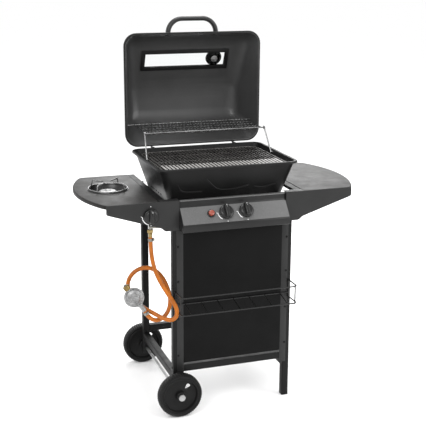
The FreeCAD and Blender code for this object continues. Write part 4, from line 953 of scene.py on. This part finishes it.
markLift = {"left": 0.00025, "right": 0.00025, "side": 0.0003}
makeKnob("left", "knob_left_turn")
makeKnob("right", "knob_right_turn")
makeKnob("side", "knob_side_turn")


def makeIgniter():
    leftAt, out = controlFrame("knob_left_turn")
    centre = Vector((-0.083, leftAt.y, leftAt.z))
    place = alignTo(centre, out)
    bm = bmesh.new()
    lathe(bm, [(0.0098, 0.0003), (0.0138, 0.0003), (0.0140, 0.0010), (0.0136, 0.0026), (0.0126, 0.0032),
               (0.0104, 0.0032), (0.0098, 0.0026), (0.0098, -0.012), (0.0115, -0.012), (0.0115, -0.040),
               (0, -0.040)], (0, 0, 0), (0, 0, 1), 48)
    bmesh.ops.transform(bm, matrix=place, verts=bm.verts[:])
    addPiece("igniter_socket", bm, "knobPlastic", "cart", ["igniter_body"], 35)
    bm = bmesh.new()
    lathe(bm, [(0, -0.009), (0.0095, -0.009), (0.0095, 0.0078), (0.0088, 0.0098), (0.0070, 0.0106),
               (0.0050, 0.0102), (0, 0.0098)], (0, 0, 0), (0, 0, 1), 48)
    bmesh.ops.transform(bm, matrix=place, verts=bm.verts[:])
    addPiece("igniter_push", bm, "redPlastic", "igniter_button", ["igniter_button"], 35)


makeIgniter()
print("knobs and igniter made")


# ---- firebox
boxShape = {"lip": 0.010, "lipHigh": 0.005, "slope": 0.30, "corner": 0.028, "base": 0.009, "wall": 0.002,
            "ribHigh": 0.0020, "ribRadius": 0.0034, "holeX": 0.0025, "drainY": 0.054, "drain": 0.012,
            "sparkY": -0.066, "spark": 0.0043, "slotHalf": 0.013, "slotFront": -0.118, "slotBack": -0.044,
            "cutUnder": 0.004, "cutOver": 0.008, "vents": 5, "ventX": 0.205, "ventDeep": 0.020,
            "ventFront": -0.064, "ventPitch": 0.028, "ventLong": 0.014, "ventLow": 0.026, "ventHigh": 0.032}
frontRibs = (
    ((-0.177, 0.774), (-0.170, 0.756), (-0.155, 0.745), (-0.125, 0.743), (-0.090, 0.743)),
    ((-0.079, 0.786), (-0.060, 0.766), (-0.038, 0.746), (-0.005, 0.743), (0.035, 0.744), (0.072, 0.756)),
    ((0.092, 0.748), (0.112, 0.743), (0.140, 0.744), (0.168, 0.753)))


def makeFirebox():
    low, high = boxOf("firebox")
    lip, slope = boxShape["lip"], boxShape["slope"]
    middle = (low + high) / 2
    half = Vector((high.x - lip, (high.y - low.y) / 2 - lip, 0))
    brim = high.z - boxShape["wall"]
    tall = brim - low.z
    bm = bmesh.new()
    corners = [bm.verts.new((sx * half.x, middle.y + sy * half.y, brim))
               for sx, sy in ((-1, -1), (1, -1), (1, 1), (-1, 1))]
    bm.faces.new(corners)
    bevelCorners(bm, bm.verts[:], boxShape["corner"], 8)
    grown = bmesh.ops.extrude_face_region(bm, geom=bm.faces[:])
    for vert in vertsIn(grown):
        vert.co.x *= (half.x - slope * tall) / half.x
        vert.co.y = middle.y + (vert.co.y - middle.y) * (half.y - slope * tall) / half.y
        vert.co.z = low.z
    mouth = [f for f in bm.faces if all(abs(v.co.z - brim) < 1e-6 for v in f.verts)]
    bmesh.ops.delete(bm, geom=mouth, context="FACES_ONLY")
    bevelEdges(bm, [e for e in bm.edges if all(abs(v.co.z - low.z) < 1e-6 for v in e.verts)],
               boxShape["base"], 4)
    # rim: out over the edge and down
    rim = [e for e in bm.edges if len(e.link_faces) == 1]
    grown = bmesh.ops.extrude_edge_only(bm, edges=rim)
    straight = half - Vector((boxShape["corner"], boxShape["corner"], 0))
    for vert in vertsIn(grown):
        x, y = vert.co.x, vert.co.y - middle.y
        away = Vector((x - max(-straight.x, min(straight.x, x)), y - max(-straight.y, min(straight.y, y)), 0))
        vert.co += away.normalized() * (lip - boxShape["wall"])
    edge = [e for e in grown["geom"] if isinstance(e, bmesh.types.BMEdge) and len(e.link_faces) == 1]
    grown = bmesh.ops.extrude_edge_only(bm, edges=edge)
    down = vertsIn(grown)
    bmesh.ops.translate(bm, vec=(0, 0, -boxShape["lipHigh"]), verts=down)
    bmesh.ops.recalc_face_normals(bm, faces=bm.faces[:])
    floor = max(bm.faces, key=lambda f: f.calc_area())
    if floor.normal.z > 0:
        bmesh.ops.reverse_faces(bm, faces=bm.faces[:])
    folds = [e for e in bm.edges if len(e.link_faces) == 2 and e.calc_face_angle(0) > math.radians(50)]
    bevelEdges(bm, folds, 0.0024, 4)
    bmesh.ops.solidify(bm, geom=bm.faces[:], thickness=boxShape["wall"])
    box = addPiece("firebox_casting", bm, "castPaint", "cart", ["firebox"], 35)
    cutter = bmesh.new()
    under, over = low.z - boxShape["cutUnder"], low.z + boxShape["cutOver"]
    for name in ("knob_left", "knob_right"):
        knobLow, knobHigh = boxOf(name)
        x = (knobLow.x + knobHigh.x) / 2
        block(cutter, (x - boxShape["slotHalf"], middle.y + boxShape["slotFront"], under),
              (x + boxShape["slotHalf"], middle.y + boxShape["slotBack"], over))
    for y, radius, sides in ((boxShape["drainY"], boxShape["drain"], 32),
                             (boxShape["sparkY"], boxShape["spark"], 20)):
        at = (boxShape["holeX"], middle.y + y)
        rod(cutter, (*at, under), (*at, over), radius, sides)
    for side in (-1, 1):
        near = side * boxShape["ventX"] - boxShape["ventDeep"]
        far = side * boxShape["ventX"] + boxShape["ventDeep"]
        for n in range(boxShape["vents"]):
            y = middle.y + boxShape["ventFront"] + boxShape["ventPitch"] * n
            block(cutter, (near, y, low.z + boxShape["ventLow"]),
                  (far, y + boxShape["ventLong"], low.z + boxShape["ventHigh"]))
    cutAway(box, cutter)
    # pressed curves low on the front wall
    bm = bmesh.new()
    for rib in frontRibs:
        path = []
        for x, z in rib:
            wall = middle.y - half.y + slope * (high.z - z)
            path.append((x, wall + boxShape["ribRadius"] - boxShape["ribHigh"], z))
        tubeInto(bm, path, boxShape["ribRadius"], sides=4)
    addPiece("firebox_ribs", bm, "castPaint", "cart", smooth=50)
    # ledges that carry the cooking grate and the heat plate
    bm = bmesh.new()
    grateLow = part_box("cooking_grate")[0]
    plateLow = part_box("heat_plate")[0]
    for ledge, spanX, reach in ((grateLow[2], 0.200, 0.026), (plateLow[2], 0.150, 0.012)):
        wall = half.y - slope * (high.z - ledge) - 0.001
        for side in (-1, 1):
            near, far = middle.y + side * wall, middle.y + side * (wall - reach)
            block(bm, (-spanX, min(near, far), ledge - 0.0023), (spanX, max(near, far), ledge - 0.0004))
    addPiece("firebox_ledges", bm, "castPaint", "cart")


makeFirebox()


# ---- cooking grate
grateShape = {"bars": 32, "rod": 0.0025, "bar": 0.00215, "corner": 0.032, "flatLong": 0.092,
              "flatWide": 0.0072, "flatThick": 0.0014, "crossWires": 10}


def roundedPath(halfX, halfY, middleY, z, corner, steps=6):
    path = []
    for cx, cy, start in ((halfX - corner, halfY - corner, 0), (-halfX + corner, halfY - corner, 90),
                          (-halfX + corner, -halfY + corner, 180), (halfX - corner, -halfY + corner, 270)):
        for n in range(steps + 1):
            angle = math.radians(start + 90 * n / steps)
            path.append((cx + corner * math.cos(angle), middleY + cy + corner * math.sin(angle), z))
    return path


def makeGrate():
    low, high = boxOf("cooking_grate")
    thick = grateShape["rod"]
    middleY = (low.y + high.y) / 2
    halfX, halfY = high.x - thick, (high.y - low.y) / 2 - thick
    z = high.z - thick
    corner = grateShape["corner"]
    bm = bmesh.new()
    tubeInto(bm, roundedPath(halfX, halfY, middleY, z, corner), thick, smooth=False, closed=True)
    pitch = 2 * halfX / (grateShape["bars"] + 1)
    # flat strips along the front stretch of each bar, in a lighter steel: painted highlight standing in for
    # the reflection of the bright studio on the front of the grate
    flats = bmesh.new()
    for n in range(grateShape["bars"]):
        x = -halfX + pitch * (n + 1)
        past = max(0, abs(x) - halfX + corner)
        reach = halfY - corner + math.sqrt(corner ** 2 - past ** 2)
        rod(bm, (x, middleY - reach, z), (x, middleY + reach, z), grateShape["bar"], 10)
        verts = block(flats, (x - grateShape["flatWide"] / 2, middleY - reach + 0.003, z + 0.0009),
                      (x + grateShape["flatWide"] / 2, middleY - reach + grateShape["flatLong"],
                       z + 0.0009 + grateShape["flatThick"]))
        bevelEdges(flats, alongAxis(edgesOf(verts), 1), 0.0006, 2)
    for share in (-0.6, 0, 0.6):
        y = middleY + share * halfY
        rod(bm, (-halfX + 0.012, y, z - thick * 1.3), (halfX - 0.012, y, z - thick * 1.3), thick, 10)
    wires = grateShape["crossWires"]
    for n in range(wires):
        y = middleY - halfY * 0.45 + 1.38 * halfY * n / (wires - 1)
        rod(bm, (-halfX + 0.004, y, z - 0.0028), (halfX - 0.004, y, z - 0.0028), 0.0011, 8)
    addPiece("grate_bars", bm, "grateEnamel", "cooking_grate", ["cooking_grate"], 40,
             merge=False)
    addPiece("grate_painted_highlight_flats", flats, "brightSteel", "cooking_grate", smooth=40,
             merge=False)


makeGrate()


# ---- warming rack
rackShape = {"wire": 0.0025, "half": 0.209, "frontHalf": 0.221, "backHalf": 0.236, "bars": 33, "bar": 0.0013,
             "cross": 3}


def makeRack():
    low, high = boxOf("warming_rack")
    wire = rackShape["wire"]
    z = (low.z + high.z) / 2
    front, back = low.y + wire, high.y - wire
    half = rackShape["half"]
    bm = bmesh.new()
    rod(bm, (-rackShape["backHalf"], back, z), (rackShape["backHalf"], back, z), wire, 14)
    rod(bm, (-rackShape["frontHalf"], front, z), (rackShape["frontHalf"], front, z), wire, 14)
    for side in (-1, 1):
        rod(bm, (side * half, front, z), (side * half, back, z), wire * 0.9, 12)
    for n in range(1, rackShape["bars"]):
        x = -half + 2 * half * n / rackShape["bars"]
        rod(bm, (x, front, z + 0.0007), (x, back, z + 0.0007), rackShape["bar"], 8)
    for n in range(rackShape["cross"]):
        y = front + (back - front) * (n + 1) / (rackShape["cross"] + 1)
        rod(bm, (-half, y, z - 0.0012), (half, y, z - 0.0012), 0.0016, 8)
    addPiece("warming_shelf", bm, "rackSteel", "warming_rack", ["warming_rack"], 40,
             merge=False)


makeRack()
print("firebox, grate and warming rack made")


# ---- side burner
burnerShape = {"rim": 0.070, "well": 0.0652, "sump": 0.046, "throat": 0.0146, "slots": 40}


def angleRound(point, centre):
    return math.atan2(point.y - centre.y, point.x - centre.x)


def makeSideBurner():
    low, high = boxOf("side_burner_bowl")
    centre = Vector(((low.x + high.x) / 2, (low.y + high.y) / 2, 0))
    rim, well, sump, throat = (burnerShape[key] for key in ("rim", "well", "sump", "throat"))
    top, base = high.z, low.z
    bm = bmesh.new()
    lathe(bm, [(rim, top - 0.0012), (rim - 0.0004, top - 0.0003), (rim - 0.0014, top),
               (well + 0.0014, top - 0.0001), (well, top - 0.0016), (well - 0.0012, top - 0.006),
               (sump + 0.004, base + 0.0034), (sump, base + 0.0014), (throat, base + 0.0013),
               (throat, base + 0.0001), (sump + 0.001, base + 0.0001), (sump + 0.0055, base + 0.0022),
               (well + 0.0003, top - 0.0066), (well + 0.0010, top - 0.0014), (rim, top - 0.0012)], centre,
               (0, 0, 1), 80)
    addPiece("burner_bowl", bm, "bowlEnamel", "cart", ["side_burner_bowl"], 40)
    capLow, capHigh = boxOf("side_burner_cap")
    radius = (capHigh.x - capLow.x) / 2
    z = capLow.z
    bm = bmesh.new()
    steps = burnerShape["slots"] * 2
    lathe(bm, [(0, z), (radius - 0.0035, z), (radius - 0.003, z + 0.0004), (radius - 0.003, z + 0.0030),
               (radius - 0.0006, z + 0.0034), (radius, z + 0.0040), (radius - 0.0004, z + 0.0052),
               (radius - 0.0030, z + 0.0068), (radius - 0.008, z + 0.0074), (0.011, z + 0.0072),
               (0.0095, z + 0.0078), (0.0080, z + 0.0094), (0.0055, capHigh.z), (0, capHigh.z)], centre,
               (0, 0, 1), steps)
    band = [f for f in bm.faces if abs(f.normal.z) < 0.2 and f.calc_center_median().z < z + 0.0030]
    band.sort(key=lambda f: angleRound(f.calc_center_median(), centre))
    ports = bmesh.ops.extrude_discrete_faces(bm, faces=band[::2])["faces"]
    for face in ports:
        way = face.calc_center_median() - centre
        way.z = 0
        bmesh.ops.translate(bm, vec=-way.normalized() * 0.0018, verts=face.verts[:])
    addPiece("burner_cap", bm, "castAluminium", "cart", ["side_burner_cap"], 40)


makeSideBurner()


# ---- regulator, its nut, the clamps and the nozzle
gasShape = {"disc": 0.033, "screws": 6, "nutRidges": 36, "clampWide": 0.009}


def makeRegulator():
    for joint in frame["joints"]:
        if joint["name"] == "regulator_nut_turn":
            nutAt, toHose = Vector(joint["pos_m"]), Vector(joint["axis"]).normalized()
    centre = nutAt + toHose * 0.042
    face = toHose.cross(Vector((0, 0, 1))).normalized()
    if face.y > 0:
        face.negate()
    shift = Vector((0, hoseShape["shiftY"], 0))
    end = Vector(hoseShape["route"][-1]) + shift
    way = (Vector(hoseShape["route"][-2]) + shift - end).normalized()
    disc = gasShape["disc"]
    bm = bmesh.new()
    lathe(bm, [(0, -0.0090), (0.019, -0.0090), (0.0262, -0.0078), (0.0278, -0.0060), (0.0280, -0.0034),
               (disc - 0.0008, -0.0034), (disc, -0.0026), (disc, -0.0006), (disc - 0.0008, 0), (disc, 0.0006),
               (disc, 0.0026), (disc - 0.0008, 0.0034), (0.0282, 0.0036), (0.0278, 0.0078), (0.0262, 0.0094),
               (0.0230, 0.0104), (0.0185, 0.0140), (0.0160, 0.0176), (0.0148, 0.0187), (0.0132, 0.0188),
               (0.0124, 0.0180), (0.0120, 0.0166), (0.0040, 0.0162), (0.0034, 0.0168), (0, 0.0170)], centre,
               face, 72)
    across = face.cross(toHose).normalized()
    for n in range(gasShape["screws"]):
        angle = math.radians(360 / gasShape["screws"] * n + 30)
        at = centre + (toHose * math.cos(angle) + across * math.sin(angle)) * 0.0303 + face * 0.0034
        lathe(bm, [(0, -0.0005), (0.0021, -0.0005), (0.0021, 0.0006), (0.0016, 0.0011), (0.0006, 0.0011),
                   (0.0005, 0.0007), (0, 0.0007)], at, face, 14)
    # neck to the hose, bent at its knuckle
    knee = end - way * 0.012
    tubeInto(bm, [centre + toHose * 0.018, centre + (knee - centre) * 0.62, knee, end - way * 0.004, end],
             0.0078, sides=5)
    lathe(bm, [(0.0070, 0), (0.0098, 0.0004), (0.0102, 0.0016), (0.0102, 0.0052), (0.0098, 0.0064),
               (0.0070, 0.0068)], centre + toHose * 0.0275, toHose, 40)
    # inlet towards the nut
    lathe(bm, [(0.0050, 0.052), (0.0050, 0.0345), (0.0066, 0.0335), (0.0080, 0.0325), (0.0080, 0.0285),
               (0.0072, 0.0275), (0.0072, 0.0255), (0.0086, 0.0245), (0.0092, 0.020), (0.0092, 0.012)],
               centre, -toHose, 36)
    addPiece("regulator_cast", bm, "castZinc", "cart", ["regulator"], 35, merge=False)
    # knurled nut
    bm = bmesh.new()
    steps = gasShape["nutRidges"] * 2
    lathe(bm, [(0.0052, 0.0336), (0.0086, 0.0336), (0.0098, 0.0342), (0.0102, 0.0352), (0.0102, 0.0468),
               (0.0098, 0.0478), (0.0088, 0.0482), (0.0076, 0.0486), (0.0074, 0.0499), (0.0052, 0.0499),
               (0.0052, 0.0336)], centre, -toHose, steps)
    band = []
    for side in bm.faces:
        away = side.calc_center_median() - centre
        along = away.dot(-toHose)
        outer = (away + toHose * along).length > 0.0098
        if abs(side.normal.dot(toHose)) < 0.2 and 0.0355 < along < 0.047 and outer:
            band.append((math.atan2(away.dot(across), away.dot(face)), side))
    band = [side for angle, side in sorted(band, key=lambda item: item[0])]
    for ridge in bmesh.ops.extrude_discrete_faces(bm, faces=band[::2])["faces"]:
        away = ridge.calc_center_median() - centre
        away = (away - toHose * away.dot(toHose)).normalized()
        bmesh.ops.translate(bm, vec=away * 0.0007, verts=ridge.verts[:])
    addPiece("regulator_nut_knurled", bm, "brassBright", "regulator_nut", ["regulator_nut"], 40)
    return end, way


def clampAt(bm, at, way, sideHint):
    half = gasShape["clampWide"] / 2
    bore, outer = 0.0071, 0.0082
    lathe(bm, [(bore, -half), (outer, -half), (outer + 0.0003, -half + 0.0008), (outer, -half + 0.0016),
               (outer, half - 0.0016), (outer + 0.0003, half - 0.0008), (outer, half), (bore, half),
               (bore, -half)], at, way, 48)
    side = (sideHint - way * sideHint.dot(way)).normalized()
    across = way.cross(side)
    turn = Matrix((across, way, side)).transposed().to_4x4()
    place = Matrix.Translation(at + side * (outer + 0.0012)) @ turn
    housing = block(bm, (-0.0050, -0.0042, -0.0014), (0.0050, 0.0042, 0.0040))
    bevelEdges(bm, edgesOf(housing), 0.0012, 3)
    touched = [v for v in bm.verts if v.is_valid and v.co.length < 0.0095]
    bmesh.ops.transform(bm, matrix=place, verts=touched)
    ends = [(0, -0.0062), (0.0030, -0.0062), (0.0034, -0.0056), (0.0034, -0.0048), (0, -0.0048)]
    lathe(bm, ends, at + side * (outer + 0.0026), across, 6)


def makeFittings():
    end, way = makeRegulator()
    bm = bmesh.new()
    clampAt(bm, end + way * 0.009, way, Vector((0.2, -1, 0.3)))
    shift = Vector((0, hoseShape["shiftY"], 0))
    low, high = boxOf("hose_nozzle")
    exit_ = Vector(((low.x + high.x) / 2, (low.y + high.y) / 2, hoseShape["exitZ"]))
    down = (Vector(hoseShape["route"][0]) + shift - exit_).normalized()
    clampAt(bm, exit_ + down * 0.009, down, Vector((1, -0.2, 0)))
    addPiece("hose_clamps_worm", bm, "zincSteel", "cart", ["hose_clamps"], 35, merge=False)
    bm = bmesh.new()
    top = high.z
    lathe(bm, [(0, top), (0.0085, top), (0.0100, top - 0.0014), (0.0100, top - 0.0106), (0.0086, top - 0.012),
               (0, top - 0.012)], (exit_.x, exit_.y, 0), (0, 0, 1), 6)
    lathe(bm, [(0, top - 0.011), (0.0064, top - 0.011), (0.0064, top - 0.0135), (0.0072, top - 0.0142),
               (0.0072, top - 0.0160), (0.0062, top - 0.0185), (0.0066, exit_.z + 0.004), (0.0062, exit_.z),
               (0, exit_.z)], (exit_.x, exit_.y, 0), (0, 0, 1), 36)
    addPiece("hose_nozzle_turned", bm, "brassBright", "cart", ["hose_nozzle"], 30, merge=False)


makeFittings()
print("side burner and gas fittings made")


# ---- finishes of the pieces that keep their own shape
kept = {"axle": "plainSteel", "axle_caps": "plainSteel", "shelf_brackets": "framePaint",
        "shelf_rails": "framePaint", "heat_plate": "heatSteel", "burner_left": "heatSteel",
        "burner_right": "heatSteel", "electrode": "plainSteel", "grease_cup": "zincSteel",
        "manifold": "zincSteel", "main_valves": "brassBright", "side_valve": "brassBright",
        "stem_left": "plainSteel", "stem_right": "plainSteel", "stem_side": "plainSteel",
        "rack_legs": "chromeWire", "side_burner_head": "castAluminium", "pot_support": "chromeWire",
        "lid_hinge_leaves": "framePaint", "hinge_brackets": "framePaint", "wire_rack": "darkWire",
        "screws": "framePaint"}


def dressKept():
    for name, finishName in kept.items():
        mesh = cadNodes[name].data
        mesh.materials.clear()
        mesh.materials.append(finishes[finishName])


dressKept()
print("kept pieces dressed")
